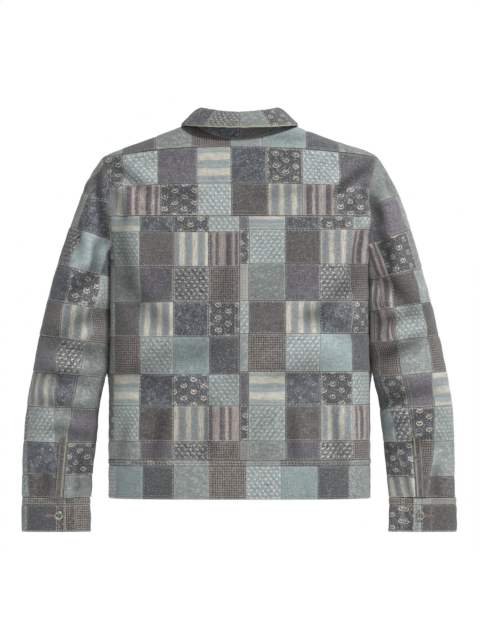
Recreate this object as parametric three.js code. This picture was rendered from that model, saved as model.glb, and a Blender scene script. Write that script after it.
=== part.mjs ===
// A patched boro work jacket, hollow and filled out as if worn, closed at the front.
// Millimetres, +Z up. The front faces -Y, the wearer's left is +X, and z = 0 is the neck seam
// at the centre back. Every piece of cloth is one closed wall, a small gap apart at its seams.
import * as THREE from 'three';

// Driving dimensions
const CLOTH = 1.8; // thickness of a patched panel, which is two layers and their quilting
const COLLAR_CLOTH = 1.6;
const STRIP = 1.2; // the bound edge of a sleeve vent
const GAP = 0.5; // between two pieces at a seam
const LAYER = 2.6; // how far a lapped edge lies outside the edge under it
const HEM = -633;
const BAND_SEAM = -564;
const ARMPIT = -215;
const YOKE_SEAM = -136;
const TIP = -14; // level of the ring that passes through the shoulder tips
const NECK = 0;
const FRONT_LAP = 16; // how far each front reaches past the centre
const YOKE_WRAP = 26; // how far the yoke comes over the shoulder to the front at its middle
const CUFF_TOP = -632;
const CUFF_HEIGHT = 60.5;
const CUFF_BUTTON = { x: 320, z: -664 };
const CUFF_LAP_EDGE = 307.6;
const BUTTON = { radius: 8, hole: 2.4, thickness: 2.6 };
const FRONT_BUTTONS = [-150, -245, -340, -435, -525];

// Rings of the body, from the hem to the neck. Each is a rounded section of half-width a, with
// depth back and front of the side seam, its height at the centre front and at the sides, and
// the power of its superellipse. The level is its height at the centre back.
const RINGS = [
  { level: HEM, side: HEM, front: HEM, a: 231, back: 112, ahead: 118, power: 2.8 },
  { level: BAND_SEAM, side: BAND_SEAM, front: BAND_SEAM, a: 231, back: 114, ahead: 121, power: 2.8 },
  { level: -420, side: -420, front: -420, a: 230, back: 117, ahead: 126, power: 2.8 },
  { level: -300, side: -300, front: -300, a: 229, back: 120, ahead: 131, power: 2.8 },
  { level: ARMPIT, side: ARMPIT, front: -224, a: 229, back: 119, ahead: 130, power: 2.7 },
  { level: YOKE_SEAM, side: YOKE_SEAM, front: -160, a: 249, back: 111, ahead: 122, power: 2.5 },
  { level: -76, side: -84, front: -120, a: 250, back: 100, ahead: 108, power: 2.2 },
  { level: TIP, side: -32, front: -88, a: 243, back: 84, ahead: 90, power: 1.8 },
  { level: NECK, side: 30, front: -75, a: 84, back: 72, ahead: 78, power: 2.0 },
];

// Half the width of the body at the armhole seam, by the level of the ring.
const ARMHOLE_WIDTH = [
  [ARMPIT, 229],
  [-186, 226],
  [YOKE_SEAM, 230.5],
  [-100, 229],
  [-76, 231],
  [-42, 236],
  [TIP, 243],
];

// Sleeve rings from the shoulder down: the outer and the inner point, and half the depth.
const SLEEVE_RINGS = [
  { outer: [259, -55], inner: [230.6, -222], depth: 62 },
  { outer: [277, -89], inner: [231.8, -232], depth: 69 },
  { outer: [296.5, -142], inner: [232.8, -248], depth: 75 },
  { outer: [314, -194], inner: [233.2, -268], depth: 79 },
  { outer: [330, -248], inner: [233.6, -294], depth: 80 },
  { outer: [348, -319], inner: [234.2, -347], depth: 76 },
  { outer: [362, -389], inner: [237.5, -408], depth: 69 },
  { outer: [373.5, -460], inner: [248.5, -472], depth: 60 },
  { outer: [380, -531], inner: [255, -538], depth: 49 },
  { outer: [382, -590], inner: [260.5, -594], depth: 35 },
  { outer: [383, CUFF_TOP], inner: [263, CUFF_TOP], depth: 23 },
];

// Where the sleeve's two seams run, in degrees round the sleeve from its outer point.
const SLEEVE_SEAM = [
  [0, 152],
  [3, 147],
  [5, 137],
  [6, 122],
  [7, 109],
  [9, 104],
  [11, 101],
];

const COLOURS = {
  slate: 0x55575f,
  teal: 0x76908f,
  brown: 0x5c5654,
  grey: 0x8a9593,
  navy: 0x464e5e,
  ecru: 0xb2aa97,
  metal: 0xb9b4a8,
};

const radians = THREE.MathUtils.degToRad;
const smooth = THREE.MathUtils.smoothstep;

// A curve through [at, value] pairs that never overshoots them.
function through(pairs, at) {
  const last = pairs.length - 1;
  let i = 0;
  while (i < last - 1 && at > pairs[i + 1][0]) i += 1;
  const step = (k) => (pairs[k + 1][1] - pairs[k][1]) / (pairs[k + 1][0] - pairs[k][0]);
  const slope = (k) => {
    if (k === 0) return step(0);
    if (k === last) return step(last - 1);
    const [before, after] = [step(k - 1), step(k)];
    return before * after <= 0 ? 0 : (2 * before * after) / (before + after);
  };
  const span = pairs[i + 1][0] - pairs[i][0];
  const u = THREE.MathUtils.clamp((at - pairs[i][0]) / span, 0, 1);
  const [u2, u3] = [u * u, u * u * u];
  return (
    (2 * u3 - 3 * u2 + 1) * pairs[i][1] +
    (u3 - 2 * u2 + u) * span * slope(i) +
    (3 * u2 - 2 * u3) * pairs[i + 1][1] +
    (u3 - u2) * span * slope(i + 1)
  );
}

const ringValue = (key, level) => through(RINGS.map((ring) => [ring.level, ring[key]]), level);

// The body's outer surface. The angle is in degrees from the centre back, positive to the left
// side, 180 at the centre front.
function bodyPoint(angle, level) {
  const turn = radians(angle);
  const [a, power] = [ringValue('a', level), ringValue('power', level)];
  const behind = Math.cos(turn) >= 0;
  const depth = ringValue(behind ? 'back' : 'ahead', level);
  const reach =
    (Math.abs(Math.sin(turn)) / a) ** power + (Math.abs(Math.cos(turn)) / depth) ** power;
  const radius = reach ** (-1 / power);
  const x = radius * Math.sin(turn);
  const middle = behind ? level : ringValue('front', level);
  const z = middle + (ringValue('side', level) - middle) * (x / a) ** 2;
  return new THREE.Vector3(x, radius * Math.cos(turn), z);
}

function normalOf(surface, u, v, du, dv) {
  const across = surface(u + du, v).sub(surface(u - du, v));
  const along = surface(u, v + dv).sub(surface(u, v - dv));
  return across.cross(along).normalize();
}

const bodyNormal = (angle, level) =>
  normalOf(bodyPoint, angle, Math.min(level, NECK - 0.6), 0.5, 0.5).negate();

// The angle of the armhole seam at a level, on the back (sign 1) or on the front (sign -1).
function armholeAngle(level, sign) {
  const width = through(ARMHOLE_WIDTH, level);
  let [low, high] = [20, 90];
  for (let i = 0; i < 40; i += 1) {
    const middle = (low + high) / 2;
    const angle = sign > 0 ? middle : 180 - middle;
    if (bodyPoint(angle, level).x < width) low = middle;
    else high = middle;
  }
  return sign > 0 ? high : 180 - high;
}

// The side edge of a back or a front: the side seam, then the armhole, then the shoulder seam.
function sideEdge(level, sign) {
  if (level <= ARMPIT) return 90;
  if (level < TIP) return armholeAngle(level, sign);
  const a = ringValue('a', level);
  const along = THREE.MathUtils.inverseLerp(ringValue('a', NECK), ringValue('a', TIP), a);
  const forward = YOKE_WRAP * Math.max(0, Math.sin(Math.PI * along)) ** 0.6;
  return 90 + THREE.MathUtils.radToDeg(Math.asin(forward / a));
}

// Closes a grid of outer points and their inward directions into one wall.
function wallGeometry(outer, inward, thickness) {
  const [rows, columns] = [outer.length, outer[0].length];
  const points = [];
  for (const row of outer) for (const point of row) points.push(point);
  outer.forEach((row, r) =>
    row.forEach((point, c) => points.push(point.clone().addScaledVector(inward[r][c], thickness))),
  );
  const inner = rows * columns;
  const at = (r, c) => r * columns + c;
  const triangles = [];
  const quad = (a, b, c, d) => triangles.push(a, b, c, a, c, d);
  for (let r = 0; r < rows - 1; r += 1) {
    for (let c = 0; c < columns - 1; c += 1) {
      quad(at(r, c), at(r, c + 1), at(r + 1, c + 1), at(r + 1, c));
      quad(inner + at(r, c), inner + at(r + 1, c), inner + at(r + 1, c + 1), inner + at(r, c + 1));
    }
  }
  const rim = [];
  for (let c = 0; c < columns; c += 1) rim.push(at(0, c));
  for (let r = 1; r < rows; r += 1) rim.push(at(r, columns - 1));
  for (let c = columns - 2; c >= 0; c -= 1) rim.push(at(rows - 1, c));
  for (let r = rows - 2; r > 0; r -= 1) rim.push(at(r, 0));
  rim.forEach((point, i) => {
    const next = rim[(i + 1) % rim.length];
    quad(next, point, inner + point, inner + next);
  });
  const geometry = new THREE.BufferGeometry();
  geometry.setAttribute('position', new THREE.Float32BufferAttribute(points.flatMap((p) => [...p]), 3));
  geometry.setIndex(triangles);
  return facingOut(geometry);
}

function facingOut(geometry) {
  const at = geometry.getAttribute('position');
  const index = geometry.getIndex().array;
  const corner = (i) => new THREE.Vector3().fromBufferAttribute(at, index[i]);
  let volume = 0;
  for (let i = 0; i < index.length; i += 3) volume += corner(i).dot(corner(i + 1).cross(corner(i + 2)));
  if (volume < 0) geometry.setIndex(Array.from(index).reverse());
  geometry.computeVertexNormals();
  return geometry;
}

function piece(name, geometry, colour, metalness = 0) {
  const roughness = metalness ? 0.45 : 0.95;
  const material = new THREE.MeshStandardMaterial({ color: COLOURS[colour], roughness, metalness });
  const mesh = new THREE.Mesh(geometry, material);
  mesh.name = name;
  return mesh;
}

// A grid over a surface: rows(i) gives the second value, columns(i, j) the first.
function panel(surface, normal, steps, place, thickness = CLOTH) {
  const [outer, inward] = [[], []];
  for (let i = 0; i <= steps.rows; i += 1) {
    outer.push([]);
    inward.push([]);
    for (let j = 0; j <= steps.columns; j += 1) {
      const [u, v] = place(i / steps.rows, j / steps.columns);
      outer[i].push(surface(u, v));
      inward[i].push(normal(u, v).negate());
    }
  }
  return wallGeometry(outer, inward, thickness);
}

const mix = THREE.MathUtils.lerp;

// The angle that a length along the ring takes up, for seam gaps.
function angleFor(angle, level, length) {
  const step = bodyPoint(angle + 0.5, level).distanceTo(bodyPoint(angle - 0.5, level));
  return length / step;
}

function backPanel(side) {
  const steps = { rows: 12, columns: 12 };
  return panel(bodyPoint, bodyNormal, steps, (i, j) => {
    const level = mix(BAND_SEAM + GAP, YOKE_SEAM - GAP, i);
    const edge = sideEdge(level, 1);
    const first = angleFor(0, level, GAP / 2);
    const last = edge - angleFor(edge, level, GAP);
    return [side * mix(first, last, j), level];
  });
}

function yoke() {
  const levels = [YOKE_SEAM + GAP / 2, -106, -76, -45, -20, TIP, -10.5, -7, -3.5, NECK];
  const steps = { rows: levels.length - 1, columns: 24 };
  return panel(bodyPoint, bodyNormal, steps, (i, j) => {
    const level = levels[Math.round(i * steps.rows)];
    const edge = sideEdge(level, 1);
    const last = edge - angleFor(edge, level, GAP);
    return [mix(-last, last, j), level];
  });
}

// How far a lapped front lies outside the ring: the left front rides over the right one.
function lappedPoint(angle, level) {
  const past = bodyPoint(angle, level);
  const lift = LAYER * smooth(past.x, -60, -20) * (past.x < 40 ? 1 - smooth(past.x, 20, 40) : 0);
  return past.addScaledVector(bodyNormal(angle, level), lift);
}

function frontPanel(side) {
  const levels = [BAND_SEAM + GAP, -486, -408, -345, -280, ARMPIT, -188, -162, YOKE_SEAM];
  levels.push(-106, -76, -45, -20, TIP, -10.5, -7, -3.5, NECK);
  const steps = { rows: levels.length - 1, columns: 13 };
  const surface = side > 0 ? lappedPoint : bodyPoint;
  return panel(surface, bodyNormal, steps, (i, j) => {
    const level = levels[Math.round(i * steps.rows)];
    const edge = sideEdge(level, -1);
    const first = edge + angleFor(edge, level, GAP);
    const last = 180 + angleFor(180, level, FRONT_LAP);
    return [side * mix(first, last, j), level];
  });
}

// The waistband goes once round from the right front, under, to the left front, over.
function hemBand() {
  const steps = { rows: 2, columns: 46 };
  const wrapped = (turn, level) => {
    const point = bodyPoint(turn, level);
    const lift = LAYER * smooth(turn, 150, 178);
    return point.addScaledVector(bodyNormal(turn, level), lift);
  };
  return panel(wrapped, bodyNormal, steps, (i, j) => {
    const level = mix(HEM, BAND_SEAM - GAP / 2, i);
    const reach = 180 + angleFor(180, level, FRONT_LAP);
    return [mix(-reach, reach, j), level];
  });
}

const sleeveValue = (pick, row) =>
  through(SLEEVE_RINGS.map((ring, i) => [i + 1, pick(ring)]), Math.max(row, 1));

// A point of the left sleeve by its angle from the outer point, positive to the back, and its row.
// Row 0 is the armhole seam and row 11 the cuff seam.
function sleevePoint(angle, row) {
  const turn = radians(angle);
  const outer = [0, 1].map((k) => sleeveValue((ring) => ring.outer[k], row));
  const inner = [0, 1].map((k) => sleeveValue((ring) => ring.inner[k], row));
  const depth = sleeveValue((ring) => ring.depth, row);
  const share = (1 + Math.cos(turn)) / 2;
  const ring = new THREE.Vector3(
    mix(inner[0], outer[0], share),
    depth * Math.sin(turn),
    mix(inner[1], outer[1], share),
  );
  if (row >= 1) return ring;
  const { point } = armhole(angle);
  return point.lerp(ring, Math.max(row, 0));
}

// The armhole seam by the same angle, moved a gap into the armhole.
function armhole(angle) {
  const folded = Math.abs(((angle + 540) % 360) - 180);
  const sign = ((angle + 540) % 360) - 180 >= 0 ? 1 : -1;
  const level = mix(TIP - 0.01, ARMPIT + 0.01, (1 - Math.cos(radians(folded))) / 2);
  const edge = armholeAngle(level, sign);
  const normal = bodyNormal(edge, level);
  const point = bodyPoint(edge, level);
  const inside = new THREE.Vector3(1, 0, 0);
  point.addScaledVector(inside, 2.6 * GAP);
  return { point, normal };
}

function sleeveNormal(angle, row) {
  const normal = normalOf(sleevePoint, angle, THREE.MathUtils.clamp(row, 0.06, 10.95), 1, 0.05).negate();
  if (row > 0.01) return normal;
  const low = smooth((1 - Math.cos(radians(angle))) / 2, 0.45, 0.95);
  return armhole(angle).normal.lerp(normal, low).normalize();
}

const seamAngle = (row) => through(SLEEVE_SEAM, row);

function sleevePanel(side, under) {
  const steps = { rows: 14, columns: under ? 7 : 14 };
  const rows = [0, 0.5, 1, 2, 3, 4, 5, 6, 7, 8, 8.8, 9.5, 10.1, 10.6, 11];
  const surface = (angle, row) => mirrored(sleevePoint(angle, row), side);
  const normal = (angle, row) => mirrored(sleeveNormal(angle, row), side);
  return panel(surface, normal, steps, (i, j) => {
    const row = rows[Math.round(i * steps.rows)];
    const gap = 0.35;
    const seam = seamAngle(row);
    if (under) return [mix(seam + gap, 360 - seam - gap, j), row];
    return [mix(-seam + gap, seam - gap, j), row];
  });
}

function mirrored(vector, side) {
  vector.x *= side;
  return vector;
}

// The cuff is a band that starts under its own end on the back of the wrist and goes once round.
const CUFF = { middle: 323.2, half: 59.5, depth: 20, power: 2.6 };

function cuffPoint(angle, height) {
  const turn = radians(angle);
  const slope = 1 - 0.02 * height;
  const reach =
    (Math.abs(Math.cos(turn)) / CUFF.half) ** CUFF.power +
    (Math.abs(Math.sin(turn)) / CUFF.depth) ** CUFF.power;
  const radius = slope * reach ** (-1 / CUFF.power);
  return new THREE.Vector3(
    CUFF.middle + radius * Math.cos(turn),
    radius * Math.sin(turn),
    CUFF_TOP - GAP - CUFF_HEIGHT * (1 - height),
  );
}

const cuffNormal = (angle, height) => normalOf(cuffPoint, angle, height, 0.5, 0.02);

// The angle on the back of the cuff at which x is reached.
function cuffAngle(x) {
  let [low, high] = [0.5, 179.5];
  for (let i = 0; i < 40; i += 1) {
    const middle = (low + high) / 2;
    if (cuffPoint(middle, 0.5).x > x) low = middle;
    else high = middle;
  }
  return low;
}

function cuff(side) {
  const steps = { rows: 2, columns: 30 };
  const start = cuffAngle(CUFF_LAP_EDGE + 26);
  const end = 360 + cuffAngle(CUFF_LAP_EDGE);
  const wound = (angle, height) => {
    const lift = LAYER * smooth(angle, 300, 365);
    return mirrored(cuffPoint(angle, height).addScaledVector(cuffNormal(angle, height), lift), side);
  };
  const normal = (angle, height) => mirrored(cuffNormal(angle, height), side);
  return panel(wound, normal, steps, (i, j) => [mix(start, end, j), i]);
}

// The bound edge of the sleeve vent lies on the upper sleeve beside the back seam.
function ventStrip(side) {
  const raised = (angle, row) => {
    const point = sleevePoint(angle, row).addScaledVector(sleeveNormal(angle, row), 0.5 + STRIP);
    return mirrored(point, side);
  };
  const normal = (angle, row) => mirrored(sleeveNormal(angle, row), side);
  const rows = { rows: 4, columns: 2 };
  return panel(raised, normal, rows, (i, j) => [seamAngle(10) - 3 - 11 * j, mix(8.85, 10.97, i)], STRIP);
}

// Collar: a stand that rises from the neck seam and a leaf that falls outside it from the fold.
// Each curve gives half-width, depth behind and ahead, and heights at back, side and front.
const COLLAR = {
  base: { a: 84, back: 72, ahead: 78, heights: [0.7, 30.7, -74.3] },
  fold: { a: 67, back: 59, ahead: 69, heights: [48, 57, -50] },
  edge: { a: 104, back: 93, ahead: 114, heights: [21, 27, -114] },
};
const COLLAR_START = 0.25; // degrees from the centre back, which leaves the seam's gap
const COLLAR_END = 172;
const COLLAR_SPREAD = 22; // by how much the leaf's front ends slant back to their points
const FOLD_DROP = 5.2; // how far below the fold the stand stops

function collarCurve(curve, angle) {
  const turn = radians(angle);
  const [s, c] = [Math.sin(turn), Math.cos(turn)];
  const radius = 1 / Math.hypot(s / curve.a, c / (c >= 0 ? curve.back : curve.ahead));
  const x = radius * s;
  const middle = c >= 0 ? curve.heights[0] : curve.heights[2];
  const z = middle + (curve.heights[1] - middle) * (x / curve.a) ** 2;
  return new THREE.Vector3(x, radius * c, z);
}

function collarStandPoint(angle, height) {
  const [low, high] = [collarCurve(COLLAR.base, angle), collarCurve(COLLAR.fold, angle)];
  return low.lerp(high, height * (1 - FOLD_DROP / low.distanceTo(high)));
}

// The leaf rolls over the stand's top edge, then falls to its own edge.
function collarLeafPoint(angle, fall) {
  const fold = collarCurve(COLLAR.fold, angle);
  const edge = collarCurve(COLLAR.edge, angle);
  const out = new THREE.Vector3(Math.sin(radians(angle)), Math.cos(radians(angle)), 0);
  const roll = smooth(fall, 0, 0.25);
  const point = fold.clone().lerp(edge, Math.max(0, fall - 0.1) / 0.9);
  point.addScaledVector(out, -2.2 * (1 - roll) + 2.5 * Math.sin(Math.PI * fall));
  point.z += 2.2 * Math.sin(Math.PI * Math.min(1, fall * 1.6)) - 1.2 * (1 - roll);
  return point;
}

const collarNormal = (surface) => (angle, v) =>
  normalOf(surface, angle, THREE.MathUtils.clamp(v, 0.03, 0.97), 0.5, 0.03).negate();

function collarStand(side) {
  const steps = { rows: 2, columns: 14 };
  return panel(collarStandPoint, collarNormal(collarStandPoint), steps, (i, j) => {
    return [side * mix(COLLAR_START, COLLAR_END, j), i];
  }, COLLAR_CLOTH);
}

function collarLeaf(side) {
  const falls = [0, 0.07, 0.16, 0.32, 0.65, 1];
  const steps = { rows: falls.length - 1, columns: 14 };
  const surface = (angle, fall) => collarLeafPoint(angle, fall);
  const normal = (angle, fall) => collarNormal(collarLeafPoint)(angle, fall).negate();
  return panel(surface, normal, steps, (i, j) => {
    const fall = falls[Math.round(i * steps.rows)];
    const end = COLLAR_END - 4 - COLLAR_SPREAD * fall;
    return [side * mix(COLLAR_START, end, j), fall];
  }, COLLAR_CLOTH);
}

// A ring-shaped metal button with a dark hollow centre, turned to face along a direction.
function button(point, direction) {
  const { radius, hole, thickness } = BUTTON;
  const profile = [
    [0, 0],
    [radius - 0.6, 0],
    [radius, 0.7],
    [radius - 0.4, thickness - 0.6],
    [radius - 1.8, thickness],
    [hole + 1.2, thickness - 0.2],
    [hole, thickness - 1.3],
    [0, thickness - 1.3],
  ].map(([x, y]) => new THREE.Vector2(x, y));
  const geometry = new THREE.LatheGeometry(profile, 12);
  const turn = new THREE.Quaternion().setFromUnitVectors(new THREE.Vector3(0, 1, 0), direction);
  geometry.applyQuaternion(turn);
  geometry.translate(...point.clone().addScaledVector(direction, 0.3));
  return geometry;
}

const jacket = new THREE.Group();

jacket.add(piece('back_yoke', yoke(), 'slate'));
for (const [side, label] of [[1, 'left'], [-1, 'right']]) {
  jacket.add(piece(`back_${label}`, backPanel(side), side > 0 ? 'teal' : 'grey'));
  jacket.add(piece(`front_${label}`, frontPanel(side), side > 0 ? 'brown' : 'navy'));
  jacket.add(piece(`sleeve_upper_${label}`, sleevePanel(side, false), 'navy'));
  jacket.add(piece(`sleeve_under_${label}`, sleevePanel(side, true), 'grey'));
  jacket.add(piece(`sleeve_vent_${label}`, ventStrip(side), 'ecru'));
  jacket.add(piece(`cuff_${label}`, cuff(side), 'brown'));
  jacket.add(piece(`collar_stand_${label}`, collarStand(side), 'navy'));
  jacket.add(piece(`collar_leaf_${label}`, collarLeaf(side), side > 0 ? 'slate' : 'grey'));
  const height = (CUFF_BUTTON.z - CUFF_TOP + GAP) / CUFF_HEIGHT + 1;
  const angle = cuffAngle(CUFF_BUTTON.x);
  const normal = cuffNormal(angle, height);
  const at = cuffPoint(angle, height).addScaledVector(normal, LAYER + 0.25);
  jacket.add(piece(`button_cuff_${label}`, button(mirrored(at, side), mirrored(normal, side)), 'metal', 0.9));
}
jacket.add(piece('hem_band', hemBand(), 'brown'));

[...FRONT_BUTTONS, (HEM + BAND_SEAM) / 2].forEach((height, i) => {
  const level = height; // below the armpit a ring is level; above it the front hangs lower
  const normal = bodyNormal(180, level);
  const at = bodyPoint(180, level).addScaledVector(normal, LAYER + 0.25);
  const name = i < FRONT_BUTTONS.length ? `button_front_${i + 1}` : 'button_band';
  jacket.add(piece(name, button(at, normal), 'metal', 0.9));
});

export default jacket;
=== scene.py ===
"""A patched boro work jacket, filled out as if worn.

Every panel is built as strips of patches sewn side by side, with their puckered seams, running
stitches, topstitching, creases, buttonholes and buttons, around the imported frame. Metres, +Z up.
The front faces -Y and the wearer's left is +X.
"""

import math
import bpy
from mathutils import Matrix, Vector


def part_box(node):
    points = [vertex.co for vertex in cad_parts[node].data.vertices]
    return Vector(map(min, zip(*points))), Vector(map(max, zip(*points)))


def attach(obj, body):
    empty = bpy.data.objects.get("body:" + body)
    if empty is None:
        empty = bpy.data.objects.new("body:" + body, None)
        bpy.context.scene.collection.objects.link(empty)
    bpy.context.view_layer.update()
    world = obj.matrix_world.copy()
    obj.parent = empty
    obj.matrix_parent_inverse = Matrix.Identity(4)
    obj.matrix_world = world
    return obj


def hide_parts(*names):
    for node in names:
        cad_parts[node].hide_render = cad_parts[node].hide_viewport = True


bl_info = {
    "name": "Patched boro jacket",
    "version": (1, 0, 0),
    "blender": (4, 5, 0),
    "location": "View3D > Sidebar > Jacket",
    "description": "Builds a hollow patchwork work jacket from strips of sewn patches",
    "category": "Object",
}

import bmesh
import bpy
import numpy as np
from bpy.props import FloatProperty, FloatVectorProperty, PointerProperty
from mathutils import Vector

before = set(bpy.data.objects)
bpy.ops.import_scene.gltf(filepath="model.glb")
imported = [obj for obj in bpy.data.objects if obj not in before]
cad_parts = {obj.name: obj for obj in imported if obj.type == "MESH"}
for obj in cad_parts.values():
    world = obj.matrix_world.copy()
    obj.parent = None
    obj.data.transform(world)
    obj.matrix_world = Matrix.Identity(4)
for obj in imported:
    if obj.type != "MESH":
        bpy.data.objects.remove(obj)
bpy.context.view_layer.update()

# ---------------------------------------------------------------- form of the jacket

HEM = -0.633
BAND_SEAM = -0.564
ARMPIT = -0.215
YOKE_SEAM = -0.136
TIP = -0.014  # level of the ring through the shoulder tips
NECK = 0.0
TIP_HALF_WIDTH = 0.243
NECK_HALF_WIDTH = 0.084
YOKE_WRAP = 0.026  # how far the yoke comes over the shoulder
FRONT_LAP = 0.016
LAYER = 0.0026  # how far a lapped edge lies outside the edge under it
SEAM_GAP = 0.00008
STRIP_GAP = 0.00004

# Level at the centre back, heights at the side and the centre front, half-width, depth behind and
# ahead of the side seam, and the power of the rounded section.
RINGS = np.array(
    [
        (-0.633, -0.633, -0.633, 0.231, 0.112, 0.118, 2.8),
        (-0.564, -0.564, -0.564, 0.231, 0.114, 0.121, 2.8),
        (-0.420, -0.420, -0.420, 0.230, 0.117, 0.126, 2.8),
        (-0.300, -0.300, -0.300, 0.229, 0.120, 0.131, 2.8),
        (-0.215, -0.215, -0.224, 0.229, 0.119, 0.130, 2.7),
        (-0.136, -0.136, -0.160, 0.249, 0.111, 0.122, 2.5),
        (-0.076, -0.084, -0.120, 0.250, 0.100, 0.108, 2.2),
        (-0.014, -0.032, -0.088, 0.243, 0.084, 0.090, 1.8),
        (0.000, 0.030, -0.075, 0.084, 0.072, 0.078, 2.0),
    ]
)
ARMHOLE_WIDTH = [
    (ARMPIT, 0.229),
    (-0.186, 0.226),
    (YOKE_SEAM, 0.2305),
    (-0.100, 0.229),
    (-0.076, 0.231),
    (-0.042, 0.236),
    (TIP, TIP_HALF_WIDTH),
]

# Sleeve rings from the shoulder down: outer point and inner point (x, z), and half the depth.
SLEEVE_RINGS = np.array(
    [
        (0.2590, -0.055, 0.2306, -0.222, 0.062),
        (0.2770, -0.089, 0.2318, -0.232, 0.069),
        (0.2965, -0.142, 0.2328, -0.248, 0.075),
        (0.3140, -0.194, 0.2332, -0.268, 0.079),
        (0.3300, -0.248, 0.2336, -0.294, 0.080),
        (0.3480, -0.319, 0.2342, -0.347, 0.076),
        (0.3620, -0.389, 0.2375, -0.408, 0.069),
        (0.3735, -0.460, 0.2485, -0.472, 0.060),
        (0.3800, -0.531, 0.2550, -0.538, 0.049),
        (0.3820, -0.590, 0.2605, -0.594, 0.035),
        (0.3830, -0.632, 0.2630, -0.632, 0.023),
    ]
)
LAST_RING = len(SLEEVE_RINGS)
SLEEVE_SEAM = {
    1: [(0, 152), (3, 147), (5, 137), (6, 122), (7, 109), (9, 104), (11, 101)],
    -1: [(0, 152), (3, 142), (5, 127), (6, 115), (7, 105), (9, 102), (11, 101)],
}
# How steeply the rows of patches climb outwards round a sleeve, by height.
SLEEVE_TILT = [
    (-0.70, 0.0), (-0.53, 0.02), (-0.41, 0.08), (-0.29, 0.16), (-0.23, 0.24), (-0.165, 0.34),
    (-0.02, 0.36),
]

CUFF_TOP = -0.6325
CUFF_HEIGHT = 0.0605
CUFF_MIDDLE, CUFF_HALF, CUFF_DEPTH, CUFF_POWER = 0.3232, 0.0595, 0.020, 2.6
CUFF_LAP_EDGE = 0.3076
CUFF_LAP = 0.026
VENT_WIDTH = 0.0105

# Curves of the collar: half-width, depth behind and ahead, and heights behind, beside and ahead.
COLLAR_BASE = (0.084, 0.072, 0.078, 0.0007, 0.0307, -0.0743)
COLLAR_FOLD = (0.067, 0.059, 0.069, 0.048, 0.057, -0.050)
COLLAR_EDGE = (0.104, 0.093, 0.114, 0.021, 0.027, -0.114)
COLLAR_END = 172  # degrees round from the centre back to the stand's end
COLLAR_SPREAD = 22  # degrees by which the leaf's end leans back to its point
FOLD_DROP = 0.0052  # how far the stand stops below the roll of the leaf


def through(pairs, at):
    """A curve through (place, value) pairs that never overshoots them."""
    knots, values = np.array(pairs, float).T
    at = np.clip(at, knots[0], knots[-1])
    spans = np.diff(knots)
    steps = np.diff(values) / spans
    slopes = np.concatenate([steps[:1], np.zeros(len(steps) - 1), steps[-1:]])
    both = steps[:-1] * steps[1:]
    rising = both > 0
    slopes[1:-1][rising] = 2 * both[rising] / (steps[:-1] + steps[1:])[rising]
    i = np.clip(np.searchsorted(knots, at, side="right") - 1, 0, len(spans) - 1)
    u = (at - knots[i]) / spans[i]
    return (
        (2 * u**3 - 3 * u**2 + 1) * values[i]
        + (u**3 - 2 * u**2 + u) * spans[i] * slopes[i]
        + (3 * u**2 - 2 * u**3) * values[i + 1]
        + (u**3 - u**2) * spans[i] * slopes[i + 1]
    )


def ring_value(column, level):
    return through(RINGS[:, [0, column]], level)


def smooth(x, low, high):
    t = np.clip((x - low) / (high - low), 0, 1)
    return t * t * (3 - 2 * t)


def unit(vectors):
    return vectors / np.maximum(np.linalg.norm(vectors, axis=-1, keepdims=True), 1e-12)


def lengths_along(points):
    """The length along a path from its first point to each of its points."""
    return np.concatenate([[0], np.cumsum(np.linalg.norm(np.diff(points, axis=0), axis=1))])


def on_side(side, *values):
    """Points or directions of the left side, mirrored for the right one (side -1)."""
    return tuple(value * np.array([side, 1, 1]) for value in values)


def body_point(angle, level):
    """The body's outer surface; the angle runs from the centre back over the left side."""
    angle, level = np.broadcast_arrays(np.asarray(angle, float), np.asarray(level, float))
    a, power = ring_value(3, level), ring_value(6, level)
    behind = np.cos(angle) >= 0
    depth = np.where(behind, ring_value(4, level), ring_value(5, level))
    reach = (np.abs(np.sin(angle)) / a) ** power + (np.abs(np.cos(angle)) / depth) ** power
    radius = reach ** (-1 / power)
    x = radius * np.sin(angle)
    middle = np.where(behind, level, ring_value(2, level))
    z = middle + (ring_value(1, level) - middle) * (x / a) ** 2
    return np.stack([x, radius * np.cos(angle), z], -1)


def normal_of(surface, u, v, du, dv):
    across = surface(u + du, v) - surface(u - du, v)
    along = surface(u, v + dv) - surface(u, v - dv)
    return unit(np.cross(across, along))


def body_normal(angle, level):
    return -normal_of(body_point, angle, np.minimum(level, NECK - 0.0006), 0.008, 0.0005)


def halved(low, high, below, steps=22):
    """Bisects elementwise: below says where the middle is still too low."""
    for _ in range(steps):
        middle = (low + high) / 2
        under = below(middle)
        low, high = np.where(under, middle, low), np.where(under, high, middle)
    return (low + high) / 2


def armhole_angle(level, sign):
    """The angle of the armhole seam, on the back (sign 1) or the front (sign -1)."""
    width = through(ARMHOLE_WIDTH, level)
    low = np.full(np.shape(level), math.radians(20))
    high = np.full(np.shape(level), math.pi / 2)

    def inside(middle):
        angle = middle if sign > 0 else math.pi - middle
        return body_point(angle, level)[..., 0] < width

    found = halved(low, high, inside)
    return found if sign > 0 else math.pi - found


def side_angle(level, sign):
    """The side edge of a back or a front: the side seam, and above it the armhole."""
    return np.where(level <= ARMPIT, math.pi / 2, armhole_angle(np.maximum(level, ARMPIT), sign))


def shoulder_seam(x):
    """How far behind the side plane the seam of yoke and front lies, at a distance from centre."""
    along = (np.abs(x) - NECK_HALF_WIDTH) / (TIP_HALF_WIDTH - NECK_HALF_WIDTH)
    return -YOKE_WRAP * np.maximum(0, np.sin(math.pi * np.clip(along, 0, 1))) ** 0.6


def ring_depth(x, level, column):
    """y of a ring at x, behind (column 4) or ahead (column 5)."""
    share = np.clip(np.abs(x) / ring_value(3, level), 0, 1)
    power = ring_value(6, level)
    return ring_value(column, level) * (1 - share**power) ** (1 / power)


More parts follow.
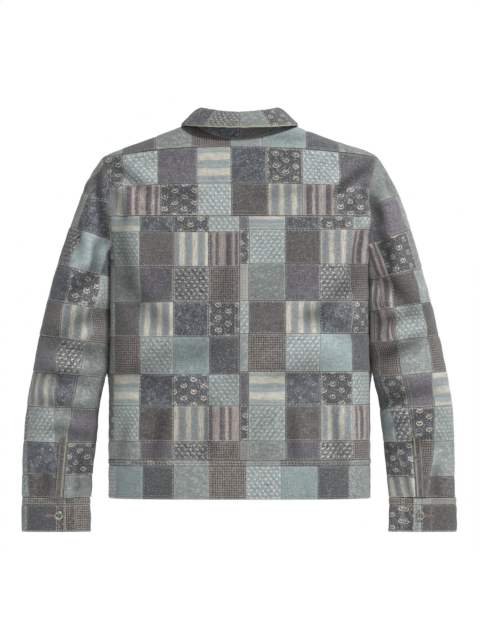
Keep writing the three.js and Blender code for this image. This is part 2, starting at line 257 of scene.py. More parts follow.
def level_over(x, y):
    """The level of the ring that passes over a point of the shoulders."""

    def below(level):
        power = ring_value(6, level)
        back, ahead = ring_value(4, level), ring_value(5, level)
        reach = (np.abs(x) / ring_value(3, level)) ** power
        reach = reach + (np.abs(y) / np.where(y >= 0, back, ahead)) ** power
        return reach < 1

    return halved(np.full(np.shape(x), TIP), np.full(np.shape(x), NECK), below)


# ---------------------------------------------------------------- lengths along the cloth


def angles_at(surface, start, end, lengths, level):
    """The angles at which the length from start along one ring reaches each given length."""
    table = np.linspace(start, end, 400)
    points = surface(table, np.full(table.shape, level))
    return np.interp(lengths, lengths_along(points[:, :2]), table)


def length_to(surface, start, end, level):
    table = np.linspace(start, end, 400)
    points = surface(table, np.full(table.shape, level))
    return np.linalg.norm(np.diff(points[:, :2], axis=0), axis=1).sum()


class BackMap:
    """Cloth below the yoke: u is the length round from the centre back, v the level."""

    def __init__(self, side):
        self.side = side

    def edges(self, v):
        ends = side_angle(v, 1)
        reach = np.array([length_to(body_point, 0, end, level) for end, level in zip(ends, v)])
        return np.full(len(v), SEAM_GAP / 2), reach - SEAM_GAP

    def place(self, u, v):
        angle = np.stack([angles_at(body_point, 0, math.pi, row, level) for row, level in zip(u, v)])
        level = np.broadcast_to(v[:, None], u.shape)
        return self.side * angle, level

    def points(self, u, v):
        angle, level = self.place(u, v)
        return body_point(angle, level), body_normal(angle, level)


def lapped(points, normals, u):
    """The left front's points, lifted over the right front near the centre."""
    return points + normals * (LAYER * (1 - smooth(u, 0.02, 0.06)))[..., None]


class FrontMap(BackMap):
    """A front: u is the length round from the centre front; past it the fronts lap."""

    def edges(self, v):
        ends = side_angle(v, -1)
        reach = [length_to(body_point, end, math.pi, level) for end, level in zip(ends, v)]
        return np.full(len(v), -FRONT_LAP), np.array(reach) - SEAM_GAP

    def place(self, u, v):
        rows = []
        for row, level in zip(u, v):
            past = angles_at(body_point, math.pi, math.pi + 0.6, np.maximum(-row, 0), level)
            short = angles_at(body_point, math.pi, 0, np.maximum(row, 0), level)
            rows.append(np.where(row < 0, past, short))
        return self.side * np.stack(rows), np.broadcast_to(v[:, None], u.shape)

    def points(self, u, v):
        angle, level = self.place(u, v)
        points, normals = body_point(angle, level), body_normal(angle, level)
        if self.side > 0:
            points = lapped(points, normals, u)
        return points, normals


class YokeMap:
    """The yoke below the shoulder tips: u is across, v the level."""

    def edges(self, v):
        half = through(ARMHOLE_WIDTH, v) - SEAM_GAP
        return -half, half

    def points(self, u, v):
        level = np.broadcast_to(v[:, None], u.shape)
        angle = np.arctan2(u, ring_depth(u, level, 4))
        return body_point(angle, level), body_normal(angle, level)


class ShoulderMap:
    """Cloth over the shoulders: u is across, v from 0 at the tips' ring to 1 at the far seam."""

    def __init__(self, sign, side=0):
        self.sign = sign  # 1 for the yoke, -1 for a front
        self.side = side

    def edges(self, v):
        half = TIP_HALF_WIDTH - 0.0008
        if self.side == 0:
            return np.full(len(v), -half), np.full(len(v), half)
        return np.full(len(v), -FRONT_LAP), np.full(len(v), half)

    def points(self, u, v):
        x = u if self.side == 0 else u * self.side
        column = 4 if self.sign > 0 else 5
        start = self.sign * ring_depth(x, np.full(x.shape, TIP), column)
        neck = self.sign * ring_depth(x, np.full(x.shape, NECK), column)
        seam = shoulder_seam(x) + self.sign * SEAM_GAP
        end = np.where(np.abs(x) < NECK_HALF_WIDTH, neck, seam)
        y = start + (end - start) * v[:, None]
        level = level_over(x, y)
        angle = np.arctan2(x, np.where(np.abs(y) < 1e-9, 1e-9, y))
        points, normals = body_point(angle, level), body_normal(angle, level)
        if self.side > 0:
            points = lapped(points, normals, u)
        return points, normals


class BandMap:
    """The waistband: u is the length round from the centre back, right side negative."""

    def edges(self, v):
        reach = np.array([length_to(body_point, 0, math.pi, level) for level in v]) + FRONT_LAP
        return -reach, reach

    def points(self, u, v):
        rows = []
        for row, level in zip(u, v):
            far = angles_at(body_point, 0, math.pi + 0.6, np.abs(row), level)
            rows.append(np.sign(row) * far)
        angle, level = np.stack(rows), np.broadcast_to(v[:, None], u.shape)
        points, normals = body_point(angle, level), body_normal(angle, level)
        lift = LAYER * smooth(angle, math.radians(150), math.radians(178))
        return points + normals * lift[..., None], normals


def sleeve_ring(angle, row):
    rows = np.arange(1, LAST_RING + 1)
    values = [through(np.stack([rows, column], 1), row) for column in SLEEVE_RINGS.T]
    outer_x, outer_z, inner_x, inner_z, depth = values
    share = (1 + np.cos(angle)) / 2
    x = inner_x + (outer_x - inner_x) * share
    z = inner_z + (outer_z - inner_z) * share
    return np.stack([x, depth * np.sin(angle), z], -1)


def armhole_table():
    """The sleeve's top edge, which follows the armhole seam, and the body's normal along it."""
    turned = np.linspace(-math.pi, math.pi, 361)
    level = (TIP - 1e-5) + (ARMPIT - TIP + 2e-5) * (1 - np.cos(turned)) / 2
    edge = np.where(turned >= 0, armhole_angle(level, 1), armhole_angle(level, -1))
    return turned, body_point(edge, level) + np.array([SEAM_GAP, 0, 0]), body_normal(edge, level)


ARMHOLE = armhole_table()


def at_armhole(angle, table):
    turned = (angle + math.pi) % (2 * math.pi) - math.pi
    return np.stack([np.interp(turned, ARMHOLE[0], table[:, k]) for k in range(3)], -1)


def sleeve_point(angle, row):
    """The left sleeve by its angle from the outer point, positive to the back, and its row."""
    angle, row = np.broadcast_arrays(np.asarray(angle, float), np.asarray(row, float))
    ring = sleeve_ring(angle, np.maximum(row, 1))
    share = np.clip(row, 0, 1)[..., None]
    return np.where(row[..., None] < 1, at_armhole(angle, ARMHOLE[1]) * (1 - share) + ring * share, ring)


def sleeve_normal(angle, row):
    own = -normal_of(sleeve_point, angle, np.clip(row, 0.12, LAST_RING - 0.05), 0.02, 0.05)
    share = smooth(row, 0.0, 0.5)[..., None]
    return unit(at_armhole(angle, ARMHOLE[2]) * (1 - share) + own * share)


def sleeve_middle(height):
    """Where the middle of the sleeve lies, across, at a height."""
    pairs = [(-0.02, 0.2375)] + [((r[1] + r[3]) / 2, (r[0] + r[2]) / 2) for r in SLEEVE_RINGS]
    return through(pairs[::-1], height)


def sleeve_row(angle, height):
    """The ring row at which a row of patches named by its middle height crosses an angle."""
    tilt, middle = through(SLEEVE_TILT, height), sleeve_middle(height)

    def above(row):
        point = sleeve_point(angle, row)
        return point[..., 2] - tilt * (point[..., 0] - middle) > height

    low = np.zeros(np.broadcast(angle, height).shape)
    found = halved(low, low + LAST_RING, above, 18)
    return np.where(found < 1e-4, 0, found)


class SleeveMap:
    """A sleeve piece: u is the length round from its middle line, v the height of a patch row."""

    def __init__(self, side, under):
        self.side, self.under = side, under
        self.middle = math.pi if under else 0.0

    def around(self, height):
        """Lengths and angles round from the piece's middle line, at one height."""
        turn = np.linspace(0, math.pi, 160)
        angle = self.middle - turn if self.under else turn
        points = sleeve_point(angle, np.maximum(sleeve_row(angle, np.full(160, height)), 0.4))
        return lengths_along(points), turn

    def edges(self, v):
        seams = SLEEVE_SEAM[self.side]
        angle = np.radians(through(seams, sleeve_row(np.full(len(v), 2.2), v)))
        for _ in range(7):
            angle = (angle + np.radians(through(seams, sleeve_row(angle, v)))) / 2
        turn = math.pi - angle if self.under else angle
        around = map(self.around, v)
        reach = np.array([np.interp(t, turns, lengths) for t, (lengths, turns) in zip(turn, around)])
        return -(reach - SEAM_GAP), reach - SEAM_GAP

    def points(self, u, v):
        turn = [np.sign(row) * np.interp(np.abs(row), *self.around(at)) for row, at in zip(u, v)]
        turn = np.stack(turn)
        angle = self.middle - turn if self.under else turn
        ring = sleeve_row(angle, np.broadcast_to(v[:, None], u.shape))
        return on_side(self.side, sleeve_point(angle, ring), sleeve_normal(angle, ring))


class VentMap:
    """The bound edge beside the back seam above the cuff: u is across it, v the ring row."""

    def __init__(self, side):
        self.side = side

    def edges(self, v):
        return np.zeros(len(v)), np.full(len(v), VENT_WIDTH)

    def points(self, u, v):
        row = np.broadcast_to(v[:, None], u.shape)
        angle = np.radians(through(SLEEVE_SEAM[self.side], row) - 3 - 11 * u / VENT_WIDTH)
        return on_side(self.side, sleeve_point(angle, row), sleeve_normal(angle, row))


def cuff_point(angle, height):
    slope = 1 - 0.02 * height
    reach = (np.abs(np.cos(angle)) / CUFF_HALF) ** CUFF_POWER
    reach = reach + (np.abs(np.sin(angle)) / CUFF_DEPTH) ** CUFF_POWER
    radius = slope * reach ** (-1 / CUFF_POWER)
    x = CUFF_MIDDLE + radius * np.cos(angle)
    z = CUFF_TOP - CUFF_HEIGHT * (1 - height) + 0 * angle
    return np.stack([x, radius * np.sin(angle), z], -1)


def cuff_angle(x):
    low, high = np.array(0.01), np.array(math.pi - 0.01)
    return float(halved(low, high, lambda middle: cuff_point(middle, 0.5)[..., 0] > x))


class CuffMap:
    """A cuff: u is the length from its end under the lap, v the height from 0 to 1."""

    START = cuff_angle(CUFF_LAP_EDGE + CUFF_LAP)
    END = 2 * math.pi + cuff_angle(CUFF_LAP_EDGE)

    def __init__(self, side):
        self.side = side
        self.table = np.linspace(self.START, self.END, 900)
        self.along = lengths_along(cuff_point(self.table, np.full(900, 0.5))[:, :2])

    def edges(self, v):
        return np.zeros(len(v)), np.full(len(v), self.along[-1])

    def length_at(self, x):
        """The length at which the top layer on the back of the wrist reaches x."""
        return float(np.interp(2 * math.pi + cuff_angle(x), self.table, self.along))

    def points(self, u, v):
        angle = np.interp(u, self.along, self.table)
        height = np.broadcast_to(v[:, None], u.shape)
        normals = normal_of(cuff_point, angle, np.clip(height, 0.03, 0.97), 0.01, 0.02)
        lift = LAYER * smooth(angle, math.radians(300), math.radians(365))
        points = cuff_point(angle, height) + normals * lift[..., None]
        return on_side(self.side, points, normals)


def collar_curve(curve, angle):
    a, back, ahead, at_back, at_side, at_front = curve
    s, c = np.sin(angle), np.cos(angle)
    radius = 1 / np.hypot(s / a, c / np.where(c >= 0, back, ahead))
    x = radius * s
    middle = np.where(c >= 0, at_back, at_front)
    z = middle + (at_side - middle) * (x / a) ** 2
    return np.stack([x, radius * c, z], -1)


def stand_point(angle, height):
    low, high = collar_curve(COLLAR_BASE, angle), collar_curve(COLLAR_FOLD, angle)
    reach = np.linalg.norm(high - low, axis=-1)
    share = height * (1 - FOLD_DROP / reach)
    return low + (high - low) * share[..., None]


def leaf_point(angle, fall):
    """The leaf from its roll over the stand (fall 0) to its edge (fall 1)."""
    fold, edge = collar_curve(COLLAR_FOLD, angle), collar_curve(COLLAR_EDGE, angle)
    out = np.stack([np.sin(angle), np.cos(angle), 0 * angle], -1)
    roll = smooth(fall, 0, 0.25)
    share = np.maximum(0, fall - 0.1) / 0.9
    point = fold + (edge - fold) * share[..., None]
    point = point + out * (-0.0022 * (1 - roll) + 0.0025 * np.sin(math.pi * fall))[..., None]
    point[..., 2] += 0.0022 * np.sin(math.pi * np.minimum(1, fall * 1.6)) - 0.0012 * (1 - roll)
    return point


class CollarMap:
    """A collar piece: u is the length round from the centre back, v runs across it."""

    def __init__(self, side, surface, curve, end, spread=0.0):
        self.side, self.surface, self.end, self.spread = side, surface, end, spread
        self.table = np.linspace(0, math.radians(COLLAR_END), 500)
        self.along = lengths_along(collar_curve(curve, self.table))

    def edges(self, v):
        last = np.radians(self.end - self.spread * v)
        return np.zeros(len(v)), np.interp(last, self.table, self.along)

    def points(self, u, v):
        angle = self.side * np.interp(u, self.along, self.table)
        across = np.broadcast_to(v[:, None], u.shape)
        points = self.surface(angle, across)
        normals = normal_of(self.surface, angle, np.clip(across, 0.03, 0.97), 0.01, 0.03)
        return points, normals if self.surface is leaf_point else -normals


# ---------------------------------------------------------------- relief of the cloth


def ripples(points, size, seed, waves=7):
    """A smooth wavy field with bumps of about the given size."""
    rng = np.random.default_rng(seed)
    total = np.zeros(points.shape[:-1])
    for _ in range(waves):
        way = unit(rng.normal(size=3)) * rng.uniform(0.7, 1.4) / size * math.pi
        total = total + np.sin(points @ way + rng.uniform(0, 2 * math.pi))
    return total / math.sqrt(waves)


# Main creases: 1 behind or -1 in front, x and z of both ends, half-width and depth. A negative
# depth is a ridge.
CREASES = [
    # on the shoulders and beside the armholes
    (1, -0.228, -0.046, -0.160, -0.103, 0.010, 0.0065),
    (1, -0.224, -0.078, -0.186, -0.130, 0.009, 0.0060),
    (1, -0.229, -0.090, -0.205, -0.150, 0.009, 0.0055),
    (1, -0.222, -0.150, -0.196, -0.235, 0.012, 0.0055),
    (1, 0.226, -0.046, 0.165, -0.090, 0.010, 0.0050),
    (1, 0.228, -0.075, 0.200, -0.150, 0.010, 0.0050),
    (1, 0.222, -0.150, 0.190, -0.250, 0.013, 0.0050),
    (1, -0.050, 0.003, -0.116, 0.004, 0.006, 0.0030),
    (1, 0.070, -0.105, 0.160, -0.092, 0.014, 0.0030),
    (1, -0.030, -0.100, -0.120, -0.088, 0.014, 0.0026),
    # from the armpits over the back
    (1, -0.218, -0.235, -0.115, -0.320, 0.016, 0.0046),
    (1, 0.218, -0.240, 0.125, -0.335, 0.016, 0.0046),
    (1, -0.212, -0.345, -0.100, -0.300, 0.016, 0.0036),
    (1, 0.212, -0.410, 0.100, -0.440, 0.017, 0.0034),
    (1, -0.030, -0.425, -0.160, -0.395, 0.019, 0.0034),
    (1, 0.040, -0.370, 0.180, -0.395, 0.019, 0.0034),
    (1, 0.020, -0.180, 0.032, -0.300, 0.016, 0.0026),
    # above the waistband
    (1, 0.060, -0.566, 0.050, -0.460, 0.011, 0.0040),
    (1, 0.150, -0.566, 0.136, -0.475, 0.012, 0.0044),
    (1, 0.212, -0.566, 0.200, -0.490, 0.010, 0.0036),
    (1, -0.096, -0.566, -0.088, -0.470, 0.011, 0.0040),
    (1, -0.178, -0.566, -0.163, -0.460, 0.012, 0.0046),
    # the fronts
    (-1, 0.220, -0.170, 0.140, -0.290, 0.016, 0.0055),
    (-1, -0.220, -0.170, -0.135, -0.300, 0.016, 0.0055),
    (-1, 0.229, -0.070, 0.190, -0.160, 0.011, 0.0050),
    (-1, -0.229, -0.070, -0.188, -0.165, 0.011, 0.0050),
    (-1, 0.110, -0.566, 0.098, -0.440, 0.014, 0.0042),
    (-1, -0.120, -0.566, -0.105, -0.430, 0.014, 0.0042),
    (-1, 0.190, -0.566, 0.176, -0.470, 0.013, 0.0040),
    (-1, -0.195, -0.566, -0.180, -0.475, 0.013, 0.0040),
]
# Creases of the left sleeve, and of the right one mirrored with its own places.
LEFT_SLEEVE_CREASES = [
    (1, 0.252, -0.048, 0.236, -0.185, 0.009, 0.0095),
    (1, 0.284, -0.150, 0.279, -0.235, 0.007, 0.0038),
    (1, 0.262, -0.175, 0.266, -0.240, 0.006, -0.0026),
    (1, 0.247, -0.175, 0.262, -0.240, 0.012, 0.0070),
    (1, 0.240, -0.225, 0.300, -0.268, 0.013, 0.0068),
    (1, 0.236, -0.300, 0.318, -0.338, 0.014, 0.0060),
    (1, 0.242, -0.378, 0.335, -0.352, 0.014, 0.0056),
    (1, 0.252, -0.430, 0.348, -0.410, 0.014, 0.0050),
    (1, 0.260, -0.480, 0.350, -0.462, 0.012, 0.0040),
    (1, 0.262, -0.525, 0.345, -0.505, 0.013, 0.0044),
    (1, 0.287, -0.634, 0.281, -0.555, 0.008, 0.0060),
    (1, 0.270, -0.634, 0.266, -0.570, 0.007, 0.0052),
    (1, 0.345, -0.634, 0.343, -0.570, 0.009, 0.0040),
    (-1, 0.250, -0.110, 0.262, -0.220, 0.012, 0.0075),
    (-1, 0.240, -0.290, 0.322, -0.330, 0.015, 0.0060),
    (-1, 0.244, -0.380, 0.335, -0.365, 0.015, 0.0055),
    (-1, 0.262, -0.470, 0.350, -0.455, 0.014, 0.0045),
    (-1, 0.290, -0.634, 0.288, -0.565, 0.009, 0.0048),
]
RIGHT_SLEEVE_CREASES = [
    (1, 0.234, -0.098, 0.246, -0.150, 0.010, 0.0110),
    (1, 0.256, -0.040, 0.270, -0.100, 0.008, 0.0045),
    (1, 0.242, -0.155, 0.264, -0.232, 0.013, 0.0085),
    (1, 0.242, -0.240, 0.308, -0.292, 0.014, 0.0070),
    (1, 0.248, -0.322, 0.326, -0.300, 0.014, 0.0052),
    (1, 0.242, -0.388, 0.325, -0.348, 0.014, 0.0062),
    (1, 0.258, -0.458, 0.352, -0.438, 0.014, 0.0050),
    (1, 0.262, -0.505, 0.350, -0.482, 0.012, 0.0040),
    (1, 0.266, -0.545, 0.352, -0.520, 0.013, 0.0044),
    (1, 0.294, -0.634, 0.287, -0.560, 0.008, 0.0060),
    (1, 0.277, -0.634, 0.272, -0.575, 0.007, 0.0052),
    (1, 0.348, -0.634, 0.346, -0.575, 0.009, 0.0040),
    (-1, 0.248, -0.120, 0.260, -0.230, 0.012, 0.0075),
    (-1, 0.240, -0.300, 0.322, -0.320, 0.015, 0.0060),
    (-1, 0.250, -0.400, 0.340, -0.380, 0.015, 0.0052),
    (-1, 0.290, -0.634, 0.288, -0.570, 0.009, 0.0048),
]


ALL_CREASES = [
    *CREASES,
    *LEFT_SLEEVE_CREASES,
    *[(facing, -x, z, -end_x, *rest) for facing, x, z, end_x, *rest in RIGHT_SLEEVE_CREASES],
]
FOLD_DEPTH = 0.006  # a trough this deep is painted darker as painted shade, and a ridge is painted paler as painted highlight


def creased(points):
    """How far the creases push the cloth in or out at each point."""
    total = np.zeros(points.shape[:-1])
    flat = points[..., [0, 2]]
    for facing, x, z, end_x, end_z, width, depth in ALL_CREASES:
        start, run = np.array([x, z]), np.array([end_x - x, end_z - z])
        along = (flat - start) @ run / (run @ run)
        nearest = start + np.clip(along, 0, 1)[..., None] * run
        off = np.linalg.norm(flat - nearest, axis=-1) / width
        fade = smooth(along, -0.25, 0.3) * (1 - smooth(along, 0.7, 1.25))
        fade = fade * smooth(points[..., 1] * facing, 0, 0.02)
        total = total + depth * fade * (0.45 * np.exp(-((off - 2.1) ** 2)) - np.exp(-(off**2)))
    return total


# How far the side of the body bulges to meet the sleeve that hangs against it, by height. The body
# bulges ahead of the side seam and the sleeve behind it.
ARM_CONTACT = [
    (-0.45, 0.0), (-0.42, 0.005), (-0.39, 0.0085), (-0.347, 0.0074), (-0.294, 0.0068), (-0.25, 0.0063),
    (-0.215, 0.004), (-0.18, 0.0),
]
BODY_SIDE = 0.2302  # the body ends here and the sleeve begins
ARMHOLE_SEAM = 0.231


def against_sleeve(points):
    """The bulge of the body's side, or of the inner side of the sleeve beyond it."""
    x, y = np.abs(points[..., 0]), points[..., 1]
    of_body = (x < BODY_SIDE) & (x > 0.19)
    of_sleeve = (x >= BODY_SIDE) & (x < 0.262)
    shape = np.where(of_body, np.exp(-(((y + 0.030) / 0.022) ** 2)), 0)
    sleeve_shape = np.exp(-(((y - 0.028) / 0.022) ** 2)) * (1 - smooth(x, 0.242, 0.262))
    return np.where(of_sleeve, sleeve_shape, shape) * through(ARM_CONTACT, points[..., 2])


class Relief:
    """What the making and the wearing do to the cloth; one field runs over every seam."""

    def __init__(self, swell=1.0):
        self.swell = swell

    def broad(self, points):
        """The slow waves and the main creases, which both faces of the cloth follow."""
        waves = 0.0013 * ripples(points, 0.12, 3) + 0.0007 * ripples(points, 0.05, 4)
        off_armhole = np.abs(points[..., 0]) - ARMHOLE_SEAM
        beside_arm = 1 - smooth(np.abs(off_armhole), 0.004, 0.03)
        calm = 1 - beside_arm * (1 - smooth(points[..., 2], -0.19, -0.12))
        reach = np.hypot(points[..., 0] / NECK_HALF_WIDTH, points[..., 1] / 0.075)
        at_neck = np.where(points[..., 2] > -0.1, 1 - smooth(np.abs(reach - 1), 0.05, 0.4), 0)
        at_armhole = np.exp(-((off_armhole / 0.016) ** 2))
        creases = creased(points) * (1 - 0.7 * at_armhole)
        return self.swell * (waves * calm + creases) * (1 - at_neck) + against_sleeve(points)

    def fine(self, points, beside, above):
        """Seam grooves, patches that swell between them, and puckers along the stitching."""
        border = np.minimum(beside, above)
        groove = -0.0006 * np.exp(-((border / 0.0011) ** 2))
        swell = 0.0007 * (1 - np.exp(-border / 0.005))
        gather = 0.0005 * np.exp(-border / 0.008) * ripples(points, 0.008, 5)
        crumple = 0.0003 * ripples(points, 0.015, 6)
        return groove + swell + gather + crumple


# ---------------------------------------------------------------- strips of patches

REPEAT = ["PHNFS", "FSDCM", "WGPKX", "SDCNF", "GXSTZ"]  # five columns by five rows
FABRICS = "PHNFSDCMWGKXTZ"


# Grid lines beside a seam: the ones in its groove, and the first ones of the patch.
GROOVE_MARK, PATCH_MARK = 0.0015, 0.0034
NARROW = 0.012  # a patch below this width has even grid lines

# How often each side of a seam is quilted: down the strip, and along its two long edges.
QUILTED_SIDES, QUILTED_LOW, QUILTED_HIGH = 0.42, 0.55, 0.45


def marks_between(low, high, step):
    """Grid lines from low up to high, close together beside the two seams."""
    width = high - low
    if width < NARROW:
        return list(np.linspace(low, high, max(2, round(width / 0.003)) + 1)[:-1])
    count = max(1, round((width - 2 * PATCH_MARK) / step))
    inside = np.linspace(low + PATCH_MARK, high - PATCH_MARK, count + 1)
    return [low, low + GROOVE_MARK, *inside, high - GROOVE_MARK]


def along_length(length):
    """Turns a strip's own v, from 0 to 1, into a length of cloth."""
    return lambda v: np.asarray(v) * length


def new_piece(name, points, faces, slots=None):
    """A smooth mesh in the scene; slots gives the material of each face."""
    mesh = bpy.data.meshes.new(name)
    mesh.from_pydata(points, [], faces)
    if slots:
        mesh.polygons.foreach_set("material_index", slots)
    mesh.shade_smooth()
    piece = bpy.data.objects.new(name, mesh)
    bpy.context.scene.collection.objects.link(piece)
    return piece


class Cloth:
    """Collects the walls of one piece: points, faces and what the materials read."""

    def __init__(self, name, thickness):
        self.name, self.thickness = name, thickness
        self.points, self.faces, self.slots, self.shades = [], [], [], []
        self.cloth, self.border = [], []
        self.seams = []  # (points, normals) of lines to be stitched
        self.area = 0.0
        self.width, self.length = 0.0, 0.0

    def add_strip(
        self, mapping, columns, letters, low, high, relief, step, down=None,
        raise_low=0.0, raise_high=0.0, lift=0.0,
    ):
        """Sews one strip: columns are the seams across, letters the cloths between them.

        down turns the strip's own v into a length of cloth. raise_low and raise_high lift its long
        edges, as turned-in cloth does, and lift raises the whole strip.
        """
        rng = np.random.default_rng(round(1e5 * abs(low + 3 * high)) + len(letters) * 7)
        u_marks, cells = [], []
        for k, (left, right) in enumerate(zip(columns, columns[1:])):
            part = marks_between(left, right, step)
            u_marks += part
            cells += [k] * len(part)
        u_marks.append(columns[-1])
        down = down or np.asarray
        reach = abs(float(down(np.array(high)) - down(np.array(low))))
        v_lines = np.array([*marks_between(0.0, reach, step), reach]) / reach
        v = low + (high - low) * v_lines
        first, last = mapping.edges(v)
        u = np.clip(np.array(u_marks)[None, :], first[:, None], last[:, None])
        base, normal = mapping.points(u, v)
        of_mark = np.array([*cells, cells[-1]])
        left = np.maximum(np.array(columns)[of_mark][None, :], first[:, None])
        right = np.minimum(np.array(columns)[of_mark + 1][None, :], last[:, None])
        beside = np.minimum(np.abs(u - left), np.abs(right - u))
        above = np.minimum(v_lines, 1 - v_lines)[:, None] * reach + 0 * u
        broad = relief.broad(base)
        fine = relief.fine(base, beside, above)
        at = v_lines[:, None] * reach
        lip = raise_low * np.exp(-at / 0.005) + raise_high * np.exp((at - reach) / 0.005)
        outer = base + normal * (broad + fine + lip + lift)[..., None]
        inner = base + normal * (broad - self.thickness + lift)[..., None]
        v_length = down(v)[:, None] + 0 * u
        # How deep each point lies in a crease, kept for the materials, which paint shade into the troughs
        # and paint highlight on the ridges.
        fold = relief.swell * creased(base) / FOLD_DEPTH
        self.add_walls(base, normal, outer, inner, np.array(cells), letters, rng)
        self.cloth += [np.stack([u, v_length, fold], -1).reshape(-1, 3)] * 2
        self.border += [np.stack([beside, above, 0 * u], -1).reshape(-1, 3)] * 2
        spans = np.linalg.norm(np.diff(base, axis=1), axis=2)[:-1]
        rises = np.linalg.norm(np.diff(base, axis=0), axis=2)[:, :-1]
        self.area += float((spans * rises).sum())
        self.width = max(self.width, float(spans.sum(1).max()))
        self.length += float(np.median(rises.sum(0)))
        starts = [cells.index(k) for k in range(1, len(letters))]
        self.mark_seams(u, v_length, starts, outer, normal, rng)
        return outer, normal

    def add_walls(self, base, normal, outer, inner, cells, letters, rng):
        """The outer and the inner face of a strip, and the rims that close them."""
        rows, width = base.shape[:2]
        start, shift = sum(len(p) for p in self.points), rows * width
        self.points += [outer.reshape(-1, 3), inner.reshape(-1, 3)]
        grid = np.arange(shift).reshape(rows, width) + start
        quads = np.stack([grid[:-1, :-1], grid[:-1, 1:], grid[1:, 1:], grid[1:, :-1]], -1)
        shades, slots = rng.uniform(0, 1, len(letters)), np.array([FABRICS.index(c) for c in letters])
        sheets = [(quads.reshape(-1, 4), np.tile(cells, rows - 1))]
        sheets.append((sheets[0][0][:, ::-1] + shift, sheets[0][1]))
        rims = [(grid[0], cells), (grid[:, -1], cells[-1:])]
        rims += [(grid[-1, ::-1], cells[::-1]), (grid[::-1, 0], cells[:1])]
        for edge, at in rims:
            rim = np.stack([edge[1:], edge[:-1], edge[:-1] + shift, edge[1:] + shift], -1)
            sheets.append((rim, np.broadcast_to(at, len(rim))))
        way = np.cross(np.diff(base, axis=1)[:-1], np.diff(base, axis=0)[:, :-1])
        outward = (way * normal[:-1, :-1]).sum() > 0
        for faces, at in sheets:
            self.faces.append(faces if outward else faces[:, ::-1])
            self.slots.append(slots[at])
            self.shades.append(shades[at])

    def mark_seams(self, u, v_length, starts, outer, normal, rng):
        """Chooses which sides of a strip's seams are quilted."""
        for k in starts:
            for line in [at for at in (k + 1, k - 1) if rng.uniform() < QUILTED_SIDES]:
                keep = (u[:, k + 2] - u[:, k - 2] > 0.004) & (np.ptp(v_length) > 0.004)
                if keep.sum() > 3:
                    self.seams.append((outer[keep, line], normal[keep, line]))
        if rng.uniform() < QUILTED_LOW:
            self.seams.append((outer[1], normal[1]))
        if rng.uniform() < QUILTED_HIGH:
            self.seams.append((outer[-2], normal[-2]))

    def build(self):
        points, faces = np.concatenate(self.points), np.concatenate(self.faces)
        slots, shades = np.concatenate(self.slots), np.concatenate(self.shades)
        marks = [np.concatenate(values) for values in (self.cloth, self.border)]
        strip = np.repeat(np.arange(len(self.points)) // 2, [len(p) for p in self.points])
        keys = np.concatenate([strip[:, None], np.round(points / 4e-6).astype(np.int64)], 1)
        _, first, where = np.unique(keys, axis=0, return_index=True, return_inverse=True)
        faces = where.ravel()[faces]
        ordered = np.sort(faces, axis=1)
        corners = 1 + (np.diff(ordered, axis=1) > 0).sum(1)
        _, group, count = np.unique(ordered, axis=0, return_inverse=True, return_counts=True)
        keep = (corners > 2) & (count[group.ravel()] == 1)
        lists = [list(dict.fromkeys(face)) for face in faces[keep].tolist()]
        piece = new_piece(self.name, points[first].tolist(), lists, slots[keep].tolist())
        mesh = piece.data
        for name, values in zip(("cloth", "border"), marks):
            layer = mesh.attributes.new(name, "FLOAT_VECTOR", "POINT")
            layer.data.foreach_set("vector", values[first].ravel())
        layer = mesh.attributes.new("patch", "FLOAT", "FACE")
        layer.data.foreach_set("value", shades[keep])
        work = bmesh.new()
        work.from_mesh(mesh)
        bmesh.ops.delete(work, geom=[v for v in work.verts if not v.link_faces], context="VERTS")
        work.to_mesh(mesh)
        work.free()
        return piece


def inset_line(strip, where, inset):
    """The line that runs inside one edge of a strip, at a distance from it, with its normals."""
    points, normals = strip
    if where in ("first", "last"):
        points, normals = points.swapaxes(0, 1), normals.swapaxes(0, 1)
    if where in ("high", "last"):
        points, normals = points[::-1], normals[::-1]
    steps = np.linalg.norm(np.diff(points, axis=0), axis=2)
    along = np.concatenate([np.zeros((1, points.shape[1])), np.cumsum(steps, axis=0)])
    both = np.concatenate([points, normals], 2)
    line = np.array(
        [[np.interp(inset, along[:, j], both[:, j, k]) for k in range(6)] for j in range(points.shape[1])]
    )
    return line[:, :3], unit(line[:, 3:])


def joined_line(strips, where, inset):
    lines = [inset_line(strip, where, inset) for strip in strips]
    return np.concatenate([a for a, _ in lines]), np.concatenate([b for _, b in lines])


